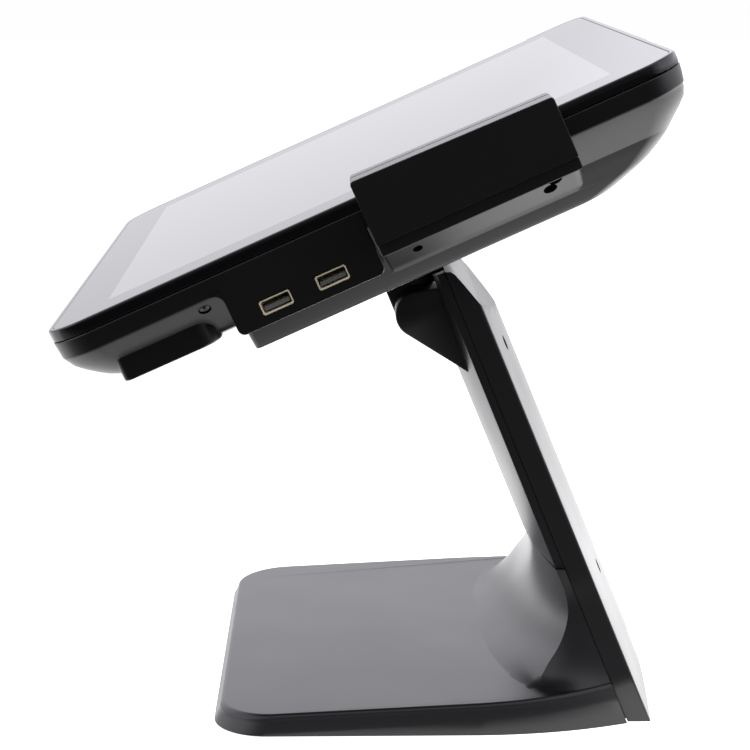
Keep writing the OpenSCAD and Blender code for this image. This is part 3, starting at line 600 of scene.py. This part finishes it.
def foot_hw(y):
    """Half width of the base, which narrows towards its rear corners."""
    if y <= SIDE_START:
        return BASE_HW
    return BASE_HW - REAR_TAPER * ((y - SIDE_START) / (REAR_CORNER - SIDE_START)) ** 2.2


def top_z(y):
    """Height of the slab's sloping top."""
    return FRONT_TOP + BASE_SLOPE * (y + BASE_FRONT)


def base_outline(d, steps=16):
    """Half outline from the front centre to the rear centre, mirrored to a whole one."""
    half = []
    for i in range(steps + 1):
        t = math.pi / 2 * i / steps
        half.append((BASE_HW - d - FRONT_R + FRONT_R * math.sin(t),
                     -BASE_FRONT + d + FRONT_R - FRONT_R * math.cos(t)))
    reach = REAR_CORNER - d
    for i in range(1, steps + 1):
        y = SIDE_START + (reach - SIDE_START) * i / steps
        half.append((foot_hw(y) - d, y))
    corner = foot_hw(REAR_CORNER) - d
    for i in range(1, 9):
        t = i / 9
        half.append((corner * (1 - t), reach + (BASE_REAR - REAR_CORNER) * (1 - (1 - t) ** 2)))
    return half + [(0, BASE_REAR - d)] + [(-x, y) for x, y in reversed(half)]


def rim_z(y):
    """Height of the slab's rim, which rises a little towards the rear corners."""
    return top_z(y) + RIM_RISE * clamped((y - 30) / 52) ** 2


def base_slab():
    """The flat slab with a soft upper edge."""
    rings = []
    for d, drop in ((0, None), (0.15, 7.5), (2.2, 3.4), (2.35, 2.4), (2.6, 1.5), (3.1, 0.75), (3.8, 0.22),
                    (4.7, 0.0)):
        rings.append([(x, y, FOOT_H if drop is None else max(rim_z(y) - drop, FOOT_H + 0.4 - drop * 0.01))
                      for x, y in base_outline(d)])
    return loft(rings)


def seam_hw(u):
    """Half width of the root at the seam, which flares out towards the foot."""
    return ARM_LOW_HW + SEAM_FLARE * clamped((ROOT_U - u) / (ROOT_U - CREASE_U)) ** 1.7


def root_hw(z):
    """Half width of the root's front face."""
    return ARM_LOW_HW + ROOT_FLARE * (max(0.0, 60 - z) / 45) ** 1.6


def sweep_centre():
    """Centre of the arc that touches both the slab's top and the arm's front."""
    rise = SWEEP_R / math.cos(math.atan(BASE_SLOPE))
    flat = FRONT_TOP + BASE_SLOPE * BASE_FRONT + rise
    z = (flat + BASE_SLOPE * (V_FRONT - SWEEP_R) / COS_L) / (1 + BASE_SLOPE * SIN_L / COS_L)
    return (V_FRONT - SWEEP_R - z * SIN_L) / COS_L, z


def edge_shift(angle, z):
    """How much farther back the sweep runs at its side edges than in the arc."""
    q = clamped((angle - SWEEP_START) / FOOT_ARC)
    return EDGE_SHIFT * clamped((66 - z) / 16) + FOOT_SHIFT * (1 - q) ** 2 * (1 + 2 * q)


def root_front(angle, y, z, slope, across=64):
    """One row of the root's front: hollow in the middle and farther back at the edges."""
    row = []
    for i in range(across + 1):
        t = 2 * i / across - 1
        shift = edge_shift(angle, z) * t ** 4 - FRONT_CROWN * (1 - t * t)
        row.append((root_hw(z) * t, y + shift, z + slope * shift - SLAB_OVERLAP))
    return row


def root_flank(angle, y, z, steps=12):
    """One row of the root's flank: a bulge from the edge of the front back to the seam."""
    w = root_hw(z)
    near = y + edge_shift(angle, z)
    y_seam = (V_SEAM - SEAM_HALF - z * SIN_L) / COS_L
    ws = seam_hw(z * COS_L - y_seam * SIN_L)
    bulge = max(0.0, min(FLANK_BULGE, 42 / max(1.0, z - 12.6) - 1.0))
    row = []
    for i in range(1, steps + 1):
        q = i / steps
        hump = bulge * 4 * q * (1 - q) * (1.35 - 0.7 * q)
        row.append((w + (ws - w) * q + hump, near + (y_seam - near) * q, z))
    return row


def arm_root(along=34):
    """The swept root: an arc up from the slab, a flared flank each side, cut off at the seam."""
    cy, cz = sweep_centre()
    rows = []
    for k in range(along + 1):
        angle = SWEEP_START + (LEAN - SWEEP_START) * k / along
        slope = BASE_SLOPE * max(0.0, -math.sin(angle))
        rows.append((angle, cy + SWEEP_R * math.cos(angle), cz + SWEEP_R * math.sin(angle), slope))
    angle, y, z, slope = rows[0]
    rows.insert(0, (angle, y, z - 3, slope))
    rows.append((LEAN, (V_FRONT - JUNCTION_Z * SIN_L) / COS_L, JUNCTION_Z, 0))
    rings = []
    for angle, y, z, slope in rows:
        side = root_flank(angle, y, z)
        rings.append(root_front(angle, y, z, slope) + side + [(-x, b, c) for x, b, c in reversed(side)])
    return loft(rings)


def behind_seam():
    """Everything behind the seam, in the room's frame."""
    bm = box_bm((-FAR, V_SEAM - SEAM_HALF, -100), (FAR, V_SEAM + 120, 320))
    return move_bm(bm, Matrix.Rotation(LEAN, 4, "X"))


def base_casting():
    """Slab and root in one casting, with a pocket for the bottom plate and a slot for the spine."""
    slab = combine(base_slab(), [behind_seam()], "DIFFERENCE")
    body = combine(slab, [arm_root()], "UNION")
    pocket = prism(base_outline(POCKET_INSET), lambda x, y, h: (x, y, h - 2), POCKET_TOP + 2)
    slot = move_bm(box_bm((-60, V_FRONT - 2, 20), (60, V_SEAM + 20, 120)), Matrix.Rotation(LEAN, 4, "X"))
    body = combine(body, [pocket, slot], "DIFFERENCE")
    piece = weigh_normals(finish_mesh(body, "base_casting", "base_black", ROOM, math.radians(28)))
    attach(piece, "stand")
    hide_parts("base_shell")


# ---- arm ----

ARM_END_U = 186.0
HOUSING_U = 147.0
SKIN_EASE = 0.5


def arm_hw(u):
    """Half width of the arm at a height along it."""
    if u > ROOT_U:
        return ARM_LOW_HW + (ARM_TOP_HW - ARM_LOW_HW) * (u - ROOT_U) / (ARM_TOP_U - ROOT_U)
    return seam_hw(u)


def arm_front_ring(u, d, across=40):
    """Section of the arm's front panel, drawn in by d."""
    w = arm_hw(u) - d
    ring = []
    for i in range(across + 1):
        t = 2 * i / across - 1
        ring.append(((w - SKIN_EASE) * t, V_FRONT + d - FRONT_CROWN * (1 - t * t), u))
    side = [(w - 0.12, V_FRONT + d + 0.18, u), (w, V_FRONT + d + SKIN_EASE, u),
            (w, V_SEAM - SEAM_HALF + d, u)]
    return ring + side + [(-x, v, c) for x, v, c in reversed(side)]


def top_outline():
    """Profile of what is cut off the arm's top, as (v, u)."""
    back, over = ARM_BACK_V + 30, 230
    return [(60, over), (66, 190), (V_SEAM, ARM_END_U), (85.6, 185.0), (87.0, 183.2), (89.4, 176.5),
            (92.4, 167.3), (93.4, 165.2), (96, 160), (ARM_BACK_V + REAR_CROWN + 1, 152), (back, 148),
            (back, over)]


def across_prism(outline, hw):
    """A prism across the machine from a side view as (v, u)."""
    return prism(outline, lambda v, u, h: (h - hw, v, u), 2 * hw)


def low_cut(z):
    """Everything under a height, given in the arm's frame."""
    bm = box_bm((-300, -300, z - 400), (300, 500, z))
    return move_bm(bm, Matrix.Rotation(-LEAN, 4, "X"))


def circle_points(a, b, r, steps):
    """Points round a circle, in the plane."""
    return [point[:2] for point in circle_ring(r, 0, steps, (a, b))]


def hull_2d(points):
    """Convex outline of points, anticlockwise."""
    points = sorted(set((round(a, 4), round(b, 4)) for a, b in points))

    def half(run):
        chain = []
        for p in run:
            while len(chain) > 1 and ((chain[-1][0] - chain[-2][0]) * (p[1] - chain[-2][1])
                                      - (chain[-1][1] - chain[-2][1]) * (p[0] - chain[-2][0])) <= 0:
                chain.pop()
            chain.append(p)
        return chain[:-1]
    return half(points) + half(points[::-1])


BARREL_R = 11.0
BARREL_WALL = 2.0
HOUSING_HW = 52.0
HOUSING_GAP = 0.05
TAIL_U = 134.5
NECK_HW = 32.0
NECK_GAP = 0.6
NECK_END_N = -45.4
BORE_R = 7.6
SKIN_LAP = 0.8


def teardrop(r):
    """Side view of the hinge housing: a barrel of radius r that runs into the arm above and below."""
    v, u = AXIS_IN_ARM.y, AXIS_IN_ARM.z
    return hull_2d(circle_points(v, u, r, 72) + circle_points(V_FRONT - 5, u + 1, 8 + r - BARREL_R, 48)
                   + circle_points(V_FRONT - 1, TAIL_U, 1, 16))


def eased_prism(outline_of, hw, ease=0.6):
    """A prism across the machine whose two end edges are rounded: outline_of(inset) gives its outline."""
    count = len(outline_of(0))
    rings = []
    for inset, back in ((ease, 0), (ease * 0.3, ease * 0.3), (0, ease)):
        outline = outline_of(inset)
        rings.append((outline if len(outline) == count else outline_of(0), -hw + back))
    rings += [(ring, -x) for ring, x in reversed(rings)]
    return loft([[(x, v, u) for v, u in ring] for ring, x in rings])


def scaled_outline(outline, inset):
    """An outline drawn in towards its middle by about an inset."""
    mid_a = sum(a for a, b in outline) / len(outline)
    mid_b = sum(b for a, b in outline) / len(outline)
    result = []
    for a, b in outline:
        reach = math.hypot(a - mid_a, b - mid_b)
        k = 1 - inset / reach
        result.append((mid_a + (a - mid_a) * k, mid_b + (b - mid_b) * k))
    return result


CABLE_U = 125.0
CABLE_R = 4.5


def stations(low, high, steps):
    """Evenly spaced values from low to high."""
    return [low + (high - low) * i / steps for i in range(steps + 1)]


def through_arm(x, u):
    """Matrix that turns a part built along z to point back through the arm at (x, u)."""
    return Matrix.Translation((x, 0, u)) @ Matrix.Rotation(-math.pi / 2, 4, "X")


def arm_front():
    """The hollow front panel of the arm, with the cable hole and room for the hinge housing."""
    outer = loft([arm_front_ring(u, 0) for u in stations(30, ARM_END_U, 24)])
    inner = loft([arm_front_ring(u, WALL) for u in stations(25, 183, 12)])
    hole = move_bm(disc_bm(CABLE_R, 60, 90), through_arm(0, CABLE_U))
    housing = box_bm((-HOUSING_HW, V_FRONT - 12, HOUSING_U), (HOUSING_HW, V_FRONT + 8, 200))
    cuts = [inner, low_cut(JUNCTION_Z + 0.3), across_prism(top_outline(), 150), hole, housing,
            across_prism(teardrop(BARREL_R - HOUSING_GAP), HOUSING_HW)]
    body = combine(outer, cuts, "DIFFERENCE")
    piece = weigh_normals(finish_mesh(body, "arm_front_panel", "black_texture", ARM))
    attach(piece, "stand")
    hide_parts("arm_front_cover")


def hinge_barrel():
    """The hollow hinge housing on the arm's front, open in the middle for the neck."""
    outline = teardrop(BARREL_R)
    body = eased_prism(lambda inset: scaled_outline(outline, inset), HOUSING_HW, 0.9)
    v, u = AXIS_IN_ARM.y, AXIS_IN_ARM.z
    notch = box_bm((-NECK_HW - NECK_GAP, v - 30, u - 13.4), (NECK_HW + NECK_GAP, v + 30, u + 46.6))
    inside = across_prism(teardrop(BARREL_R - BARREL_WALL), HOUSING_HW - WALL)
    behind = loft([arm_front_ring(u, SKIN_LAP) for u in (100, HOUSING_U)])
    back = box_bm((-HOUSING_HW + WALL, 74, HOUSING_U), (HOUSING_HW - WALL, 86, 176))
    body = combine(body, [behind, notch], "DIFFERENCE")
    body = combine(body, [inside, back], "DIFFERENCE")
    piece = finish_mesh(body, "hinge_barrel", "black_texture", ARM)
    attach(piece, "stand")
    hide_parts("hinge_housing")


def arm_back_ring(u, d, across=44):
    """Section of the arm's rear panel, drawn in by d."""
    w = arm_hw(u) - d
    back = ARM_BACK_V - d
    side = [(w, V_SEAM + SEAM_HALF, u), (w, back - 1.2, u), (w - 0.1, back - 0.6, u),
            (w - 0.4, back - 0.1, u)]
    ring = list(side)
    for i in range(across + 1):
        t = 1 - 2 * i / across
        x = (w - 0.9) * t
        ring.append((x, back + REAR_CROWN * (1 - abs(t) ** 1.3) + 0.15, u))
    return ring + [(-x, v, c) for x, v, c in reversed(side)]


def seam_lip(side):
    """A tongue of the rear panel that laps behind the seam, so that no light shows through it."""
    rings = []
    for u in stations(-36, 170, 44):
        x0, x1, x2 = (side * (arm_hw(u) - d) for d in (3.6, 2.5, 2.2))
        rings.append([(x0, 81.2, u), (x1, 81.2, u), (x1, 85.0, u), (x2, 85.6, u), (x2, 88.0, u),
                      (x0, 88.0, u)])
    return loft(rings)


REAR_SCREWS = ((-36, 140), (36, 140), (-36, 20), (36, 20))
WELL_V = ARM_BACK_V + 1.2
WELL_R = 3.7


def arm_back():
    """The hollow rear panel of the arm, with wells for its screws and a mouth for cables at the foot."""
    outer = loft([arm_back_ring(u, 0) for u in stations(-46, ARM_END_U, 48)])
    inner = loft([arm_back_ring(u, WALL, 28) for u in stations(-52, 150, 24)])
    wells = [move_bm(disc_bm(WELL_R, WELL_V, V_FRONT + 40), through_arm(x, u)) for x, u in REAR_SCREWS]
    mouth = prism(rounded_box_outline(-18, -15, 18, 15, (5, 5, 5, 5)), lambda a, b, h: (a, 60 + h, b), 80)
    mouth = move_bm(mouth, Matrix.Rotation(-LEAN, 4, "X"))
    cuts = [inner, across_prism(top_outline(), 150), low_cut(FOOT_H), mouth] + wells
    lips = [combine(seam_lip(side), [low_cut(FOOT_H + 0.6)], "DIFFERENCE") for side in (-1, 1)]
    body = combine(combine(outer, cuts, "DIFFERENCE"), lips, "UNION")
    piece = weigh_normals(finish_mesh(body, "arm_back_panel", "black_texture", ARM))
    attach(piece, "stand")
    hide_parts("arm_rear_cover")


def neck():
    """The cover round the hinge's middle, on the head, with a bore for the shaft's washers."""
    s, n = AXIS_IN_HEAD.y, AXIS_IN_HEAD.z
    outline = hull_2d(circle_points(s, n, BARREL_R, 72) + [(s - 10, NECK_END_N), (s + 14, NECK_END_N)])
    body = eased_prism(lambda inset: scaled_outline(outline, inset), NECK_HW, 0.7)
    across = Matrix.Translation((0, s, n)) @ Matrix.Rotation(math.pi / 2, 4, "Y")
    bore = move_bm(disc_bm(BORE_R, -50, 50, 40), across)
    body = combine(body, [bore], "DIFFERENCE")
    piece = finish_mesh(body, "neck_shroud", "black_texture", HEAD)
    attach(piece, "head")
    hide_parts("neck_cover")


# ---- head ----

HEAD_HW = 180.0
HEAD_HL = 140.4
HEAD_R = 18.0
BEZEL_T = 5.2
SPLIT_N = -5.6
BOX_S = -66.4
PANEL_S = (-67.0, -2.0)
PANEL_N = -33.2
PAD_S = (-2.0, 86.0)
POD_S = (-119.6, -75.6)
POD_N = (-32.3, -18.6)
POD_X = 171.0
USB_S = (-47.8, -22.9)
USB_N = -26.0
USB_HALF = (6.9, 3.3)
BOX_OPENING_N = (-41.5, -26.5)
BOX_OPENING_HW = 118.0
BUTTON_S = -76.0
BUTTON_N = -17.7


def bezel():
    """Glossy band round the glass with rounded outer edges and a lip over the glass's rim."""
    rings = []
    for inset, n in ((0.5, -BEZEL_T), (0.12, -BEZEL_T + 0.12), (0, -BEZEL_T + 0.5), (0, -1.1), (0.12, -0.5),
                     (0.42, -0.14), (0.9, 0.0), (1.9, 0.0), (2.15, -0.08), (2.25, -0.3), (2.25, -3.5)):
        rings.append(corner_ring(HEAD_HW - inset, -HEAD_HL + inset, HEAD_HL - inset, HEAD_R - inset,
                                 HEAD_R - inset, n))
    for hw, hl, n in ((168, 130, -3.5), (168, 130, -BEZEL_T)):
        rings.append(corner_ring(hw, -hl, hl, 6, 6, n))
    piece = finish_mesh(loft(rings, tube=True), "screen_bezel", "gloss_black", HEAD, math.radians(50))
    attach(piece, "head")
    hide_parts("front_bezel")


def glass():
    """The touch glass with an eased rim."""
    rings = []
    for inset, n in ((2.6, -3.0), (2.4, -2.8), (2.4, -0.45), (2.55, -0.18), (2.85, -0.04)):
        rings.append(corner_ring(HEAD_HW - inset, -HEAD_HL + inset, HEAD_HL - inset, HEAD_R - inset,
                                 HEAD_R - inset, n))
    piece = weigh_normals(finish_mesh(loft(rings), "screen_glass", "touch_glass", HEAD))
    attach(piece, "head")
    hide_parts("touch_glass")


TRAY_ROWS = (
    (179.55, -139.95, 139.95, 18, -5.6), (179.85, -140.25, 140.25, 18, -5.7),
    (180.0, -140.4, 140.4, 18, -6.0), (179.8, -140.1, 140.1, 18, -9.0),
    (179.45, -139.85, 139.5, 18, -12.8), (179.3, -139.75, 139.35, 18, -13.3),
    (179.0, -139.6, 139.1, 18, -13.75), (178.6, -139.4, 138.95, 18, -14.2),
    (177.2, -138.9, 138.6, 17, -15.7), (174.4, -137.9, 137.6, 15, -18.6),
    (170.7, -135.0, 134.6, 14, -22.3), (167.2, -131.6, 131.0, 13, -25.8),
    (164.6, -128.6, 128.4, 12, -28.4), (161.5, -125.2, 125.2, 12, -30.6),
    (157.0, -120.5, 121.0, 12, -31.8))
BOX_ROWS = (
    (166.0, 130.5, 12, -26.0), (164.2, 127.8, 12, -29.0), (162.6, 124.8, 12, -31.6),
    (160.2, 119.3, 12, -35.3), (158.5, 114.5, 12, -38.0), (157.0, 109.0, 13, -40.3),
    (154.7, 100.0, 14, -43.6), (153.4, 96.0, 14, -44.6), (151.2, 92.0, 14, -45.0))


def tray(d):
    """The wide shallow part of the back, drawn in by d: half width, low and high end, corner and height."""
    rings = []
    for hw, low, high, r_high, n in TRAY_ROWS:
        rise = d * 0.6 if n < -15 else 0
        r_high = max(r_high - d, 4)
        rings.append(corner_ring(hw - d, low + d, high - d, 18, r_high, n + rise))
    return loft(rings)


def rear_box(d):
    """The thick part of the back, drawn in by d: half width, high end, corner and height."""
    rings = []
    for hw, high, r, n in smooth_between(BOX_ROWS, 3):
        rings.append(corner_ring(hw - d, BOX_S + d, high - d, 3, r, n + d * 0.8))
    return loft(rings)


def side_slab(s0, s1, profile, r_low, r_high):
    """A block on the head's side, as slices across it: (x, lowest n, how rounded its lower corners are)."""
    rings = []
    for x, n_low, soft in profile:
        ring = rounded_box_outline(s0 + soft, n_low, s1 - soft, SPLIT_N - 0.4, (r_low, r_high, 0, 0), 8)
        rings.append([(x, s, n) for s, n in ring])
    return loft(rings)


def port_panel():
    """The flat panel round the side ports, proud of the sloping side, with eased edges."""
    panel = side_slab(PANEL_S[0], PANEL_S[1],
                      ((130, PANEL_N, 0), (HEAD_HW - 0.6, PANEL_N, 0), (HEAD_HW - 0.2, PANEL_N + 0.15, 0.15),
                       (HEAD_HW, PANEL_N + 0.6, 0.6)), 3.0, 3.0)
    r, s0, n0 = 4.5, PANEL_S[0], -13.0
    arc = [(s0 - r + r * math.sin(math.radians(a)), n0 - 0.4 - r + r * math.cos(math.radians(a)))
           for a in range(0, 91, 10)]
    corner = [(s0 + 1, n0), (s0 - r, n0)] + arc + [(s0 + 1, n0 - 0.4 - r)]
    fillet = prism(corner, lambda b, n, h: (150 + h, b, n), HEAD_HW - 150.25)
    return [panel, fillet]


def reader_pad():
    """The sloping face under the card reader, down to the rear box's side."""
    profile = ((130, -40.0, 0), (156.2, -40.0, 0), (160.4, -36.2, 0), (161.2, -35.4, 0), (178.2, -22.0, 0),
               (HEAD_HW - 1, -20.6, 0), (HEAD_HW - 0.8, -19.0, 0.2))
    return side_slab(PAD_S[0] + 1.2, PAD_S[1] + 1.2, profile, 1.0, 4.5)


def pod(side):
    """A speaker's housing below the low end, sharp along its lower edge."""
    x0, x1 = sorted((side * (POD_X - 52), side * POD_X))
    rings = []
    for inset, n in ((0.9, POD_N[0]), (0.3, POD_N[0] + 0.25), (0.0, POD_N[0] + 0.9), (0.0, POD_N[1])):
        outline = rounded_box_outline(x0 + inset, POD_S[0] + inset, x1 - inset, POD_S[1] - inset,
                                      (3.0, 3.0, 8.0, 8.0), 10)
        rings.append([(x, b, n) for x, b in outline])
    return loft(rings)


def button_frame():
    """Matrix from the button's own frame, z out of the sloping side, to the head's frame."""
    lean = math.atan2(15, 14)
    x = HEAD_HW - 15 * (-14 - BUTTON_N) / 14
    return Matrix.Translation((x, BUTTON_S, BUTTON_N)) @ Matrix.Rotation(lean + math.pi / 2, 4, "Y")


COVER_SCREWS = ((-150, -118), (150, -118), (-156, 100), (156, 100))
COVER_SCREW_N = -20.6
PAD_HOLES = ((166.6, 13.0, -32.0, 2.2), (170.4, 75.4, -28.2, 3.0), (166.6, 72.3, -31.2, 3.0))
PAD_FACING = math.radians(141.7)
BRACKET_SCREWS_X = (-42, 42)
BRACKET_SCREWS_S = (-22, 22)


def back_openings():
    """The cuts for side and rear sockets, neck, bracket screws, button, cover screws and pad holes."""
    s = AXIS_IN_HEAD.y
    along, out = USB_HALF
    cuts = [box_bm((HEAD_HW - 14, at - along, USB_N - out), (HEAD_HW + 6, at + along, USB_N + out))
            for at in USB_S]
    low, high = BOX_OPENING_N
    cuts.append(box_bm((-BOX_OPENING_HW, BOX_S - 4, low), (BOX_OPENING_HW, BOX_S + 4, high)))
    cuts.append(box_bm((-NECK_HW + 1, s - 7, -46), (NECK_HW - 1, s + 9, -41)))
    for x in BRACKET_SCREWS_X:
        for along in BRACKET_SCREWS_S:
            cuts.append(disc_bm(4.2, -46, -41, at=(x, s + along)))
    cuts.append(move_bm(disc_bm(2.8, -6, 14), button_frame()))
    for at in COVER_SCREWS[:2]:
        cuts.append(disc_bm(3.6, -60, COVER_SCREW_N, at=at))
    for x, b, n, r in PAD_HOLES:
        turn = Matrix.Translation((x, b, n)) @ Matrix.Rotation(PAD_FACING, 4, "Y")
        cuts.append(move_bm(disc_bm(r, -6, 6), turn))
    return cuts


def head_back():
    """The moulded back cover: wide tray, thick rear box, port panel, reader's pad and speaker pods."""
    outer = combine(tray(0), [rear_box(0), reader_pad(), pod(1), pod(-1)] + port_panel(), "UNION")
    inner = combine(tray(WALL), [rear_box(WALL)], "UNION")
    lid = loft([corner_ring(HEAD_HW - WALL, -HEAD_HL + WALL, HEAD_HL - WALL, 15.6, 15.6, n)
                for n in (-6.0, -3.0)])
    cuts = [inner, lid] + back_openings()
    body = combine(outer, cuts, "DIFFERENCE")
    piece = weigh_normals(finish_mesh(body, "head_back_cover", "black_texture", HEAD, math.radians(26)))
    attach(piece, "head")
    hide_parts("back_cover")


# ---- card reader ----

READER_IN = HEAD_HW + 0.4
READER_OUT = HEAD_HW + 24.6
SLOT_X = HEAD_HW + 9.4
SWIPE_W = 1.4
READER_L = 86.0
READER_UP = 8.9
READER_DROP = 1.8
READER_LOW = -23.7
COVER_LOW = -18.6
WINDOW_S = (33.7, 46.3)


def reader_outline(low, inset, r=1.8, low_r=0.6):
    """Side view of the reader as (s, n): its top drops towards the far end."""
    corners = [(inset, low + inset), (READER_L - inset, low + inset),
               (READER_L - inset, READER_UP - READER_DROP - inset), (inset, READER_UP - inset)]
    radii = (low_r, low_r, r, r)
    points = []
    for k, (a, b) in enumerate(corners):
        here = Vector((a, b))
        before = (Vector(corners[k - 1]) - here).normalized()
        after = (Vector(corners[(k + 1) % 4]) - here).normalized()
        angle = before.angle(after)
        reach = radii[k] / math.tan(angle / 2)
        start, end = here + before * reach, here + after * reach
        for i in range(7):
            t = i / 6
            points.append(tuple(start * (1 - t) ** 2 + here * 2 * t * (1 - t) + end * t * t))
    return points


def reader_block(x0, x1, low, ease):
    """A block across the head between two distances, with its long edges eased."""
    rings = []
    for inset, x in ((ease, x0), (ease * 0.3, x0 + ease * 0.3), (0, x0 + ease), (0, x1 - ease),
                     (ease * 0.3, x1 - ease * 0.3), (ease, x1)):
        rings.append([(x, s, n) for s, n in reader_outline(low, inset)])
    return loft(rings)


def reader_floor():
    """The ledge under the outer half."""
    rings = []
    for inset, x in ((0, READER_IN + 1), (0, READER_OUT - 2.3), (0.3, READER_OUT - 2)):
        outline = rounded_box_outline(inset, READER_LOW + inset, READER_L - inset, COVER_LOW - 0.3,
                                      (0.8, 0.8, 0, 0))
        rings.append([(x, s, n) for s, n in outline])
    return loft(rings)


def reader():
    """The card reader: an inner half with a ledge, and an outer cover beyond the card's slot."""
    back = combine(reader_block(READER_IN, SLOT_X, READER_LOW, 0.4), [reader_floor()], "UNION")
    piece = weigh_normals(finish_mesh(back, "reader_back_half", "reader_black", HEAD))
    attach(piece, "head")
    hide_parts("reader_body")
    front = reader_block(SLOT_X + SWIPE_W, READER_OUT, COVER_LOW, 0.5)
    window = box_bm((SLOT_X, WINDOW_S[0], -6.3), (SLOT_X + 6, WINDOW_S[1], 4.3))
    hollow = box_bm((SLOT_X + SWIPE_W + 1.6, 2, COVER_LOW - 1), (READER_OUT - 2, READER_L - 2, 4.6))
    front = combine(front, [window, hollow], "DIFFERENCE")
    piece = weigh_normals(finish_mesh(front, "reader_front_half", "reader_black", HEAD))
    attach(piece, "head")
    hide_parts("reader_cover")


# ---- ports and the button ----

SHELL_OUTER = ((13.1, 5.7, 0.5, -14), (13.1, 5.7, 0.5, -0.5), (13.5, 6.1, 0.6, -0.12), (13.5, 6.1, 0.6, 0))
SHELL_INNER = ((12.6, 5.2, 0.5, 0.0), (12.3, 4.9, 0.45, -0.5), (12.3, 4.9, 0.45, -13))
CONTACT_PITCH = 2.4
CONTACT_HW = 0.5


def socket_ring(w, h, c, z):
    """A rectangle with its corners cut off."""
    a, b = w / 2, h / 2
    return [(a, -b + c, z), (a, b - c, z), (a - c, b, z), (-a + c, b, z),
            (-a, b - c, z), (-a, -b + c, z), (-a + c, -b, z), (a - c, -b, z)]


def usb_socket(place, name, slot, node, tongue_slot, tongue_node, mouths):
    """Folded metal shells with flared lips, and the contact tongues inside."""
    shells, tongues = [], []
    for mouth in mouths:
        shells.append(move_bm(loft([socket_ring(*row) for row in SHELL_OUTER + SHELL_INNER]), mouth))
        tongue = box_bm((-5.6, -1.7, -12.9), (5.6, 0.2, -0.9))
        bmesh.ops.bevel(tongue, geom=tongue.edges[:], offset=0.25, segments=2, affect="EDGES")
        tongues.append(move_bm(tongue, mouth))
        for i in range(4):
            x = (i - 1.5) * CONTACT_PITCH
            strip = box_bm((x - CONTACT_HW, 0.18, -11), (x + CONTACT_HW, 0.32, -1.6))
            tongues.append(move_bm(strip, mouth))
    piece = finish_mesh(joined(shells), name + "_shells", slot, place)
    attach(piece, "head")
    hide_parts(node)
    piece = finish_mesh(joined(tongues), name + "_tongues", tongue_slot, place)
    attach(piece, "head")
    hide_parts(tongue_node)


def ports():
    """The two sockets on the head's side."""
    turn = Matrix.Rotation(math.pi / 2, 4, "Y") @ Matrix.Rotation(math.pi / 2, 4, "Z")
    side = [Matrix.Translation((HEAD_HW + 0.2, s, USB_N)) @ turn for s in USB_S]
    usb_socket(HEAD, "side_usb", "port_shell", "side_usb_shells", "port_white", "side_usb_tongues", side)


def power_button():
    """A dished button with a point in its middle and a flange that keeps it in."""
    body = turned([(2.5, -3.6), (2.5, -1.6), (2.42, -1.35), (2.2, -1.2), (1.2, -1.32), (0.6, -1.36),
                   (0.35, -0.7), (0.05, -0.6)])
    flange = turned([(3.5, -4.6), (3.5, -3.7), (3.4, -3.6), (2.5, -3.6)])
    bm = move_bm(joined([body, flange]), button_frame())
    piece = finish_mesh(bm, "power_push_button", "button_grey", HEAD)
    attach(piece, "power_button")
    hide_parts("power_button")


# ---- small parts ----

def pan_head(r, length, head_r, head_h):
    """A pan-head screw with a cross recess, its head's underside at z = 0."""
    profile = [(r * 0.2, -length), (r, -length + r * 0.8), (r, 0), (head_r, 0), (head_r, head_h * 0.35),
               (head_r * 0.93, head_h * 0.7), (head_r * 0.75, head_h * 0.92), (head_r * 0.4, head_h),
               (0.02, head_h)]
    body = turned(profile, 32)
    arm = head_r * 0.52
    slot_w = head_r * 0.11
    cuts = [box_bm((-arm, -slot_w, head_h * 0.45), (arm, slot_w, head_h + 1)),
            box_bm((-slot_w, -arm, head_h * 0.45), (slot_w, arm, head_h + 1))]
    return combine(body, cuts, "DIFFERENCE")


def screws():
    """The screws of the arm's rear panel and of the head's back cover."""
    turn = Matrix.Rotation(-math.pi / 2, 4, "X")
    parts = [move_bm(pan_head(1.5, 9.6, 3.3, 1.8), Matrix.Translation((x, WELL_V + 0.1, u)) @ turn)
             for x, u in REAR_SCREWS]
    piece = finish_mesh(joined(parts), "rear_panel_screws", "screw_steel", ARM)
    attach(piece, "stand")
    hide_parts("rear_cover_screws")
    flip = Matrix.Rotation(math.pi, 4, "X")
    parts = [move_bm(pan_head(1.5, 4.8, 3.2, 1.5), Matrix.Translation((x, s, COVER_SCREW_N)) @ flip)
             for x, s in COVER_SCREWS]
    piece = finish_mesh(joined(parts), "back_panel_screws", "screw_steel", HEAD)
    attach(piece, "head")
    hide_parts("back_cover_screws")


def dress_cad_nodes():
    """Every CAD node that stays gets the material of its record slot."""
    for part in RECORD["subparts"]:
        used = NODES[part["node"]].data.materials
        if not used:
            used.append(None)
        for i in range(len(used)):
            used[i] = MATERIALS[part["material_slot"]]


make_camera()
make_world()
make_floor()
MATERIALS = make_materials()
dress_cad_nodes()
base_casting()
arm_front()
hinge_barrel()
arm_back()
neck()
bezel()
glass()
head_back()
reader()
ports()
power_button()
screws()
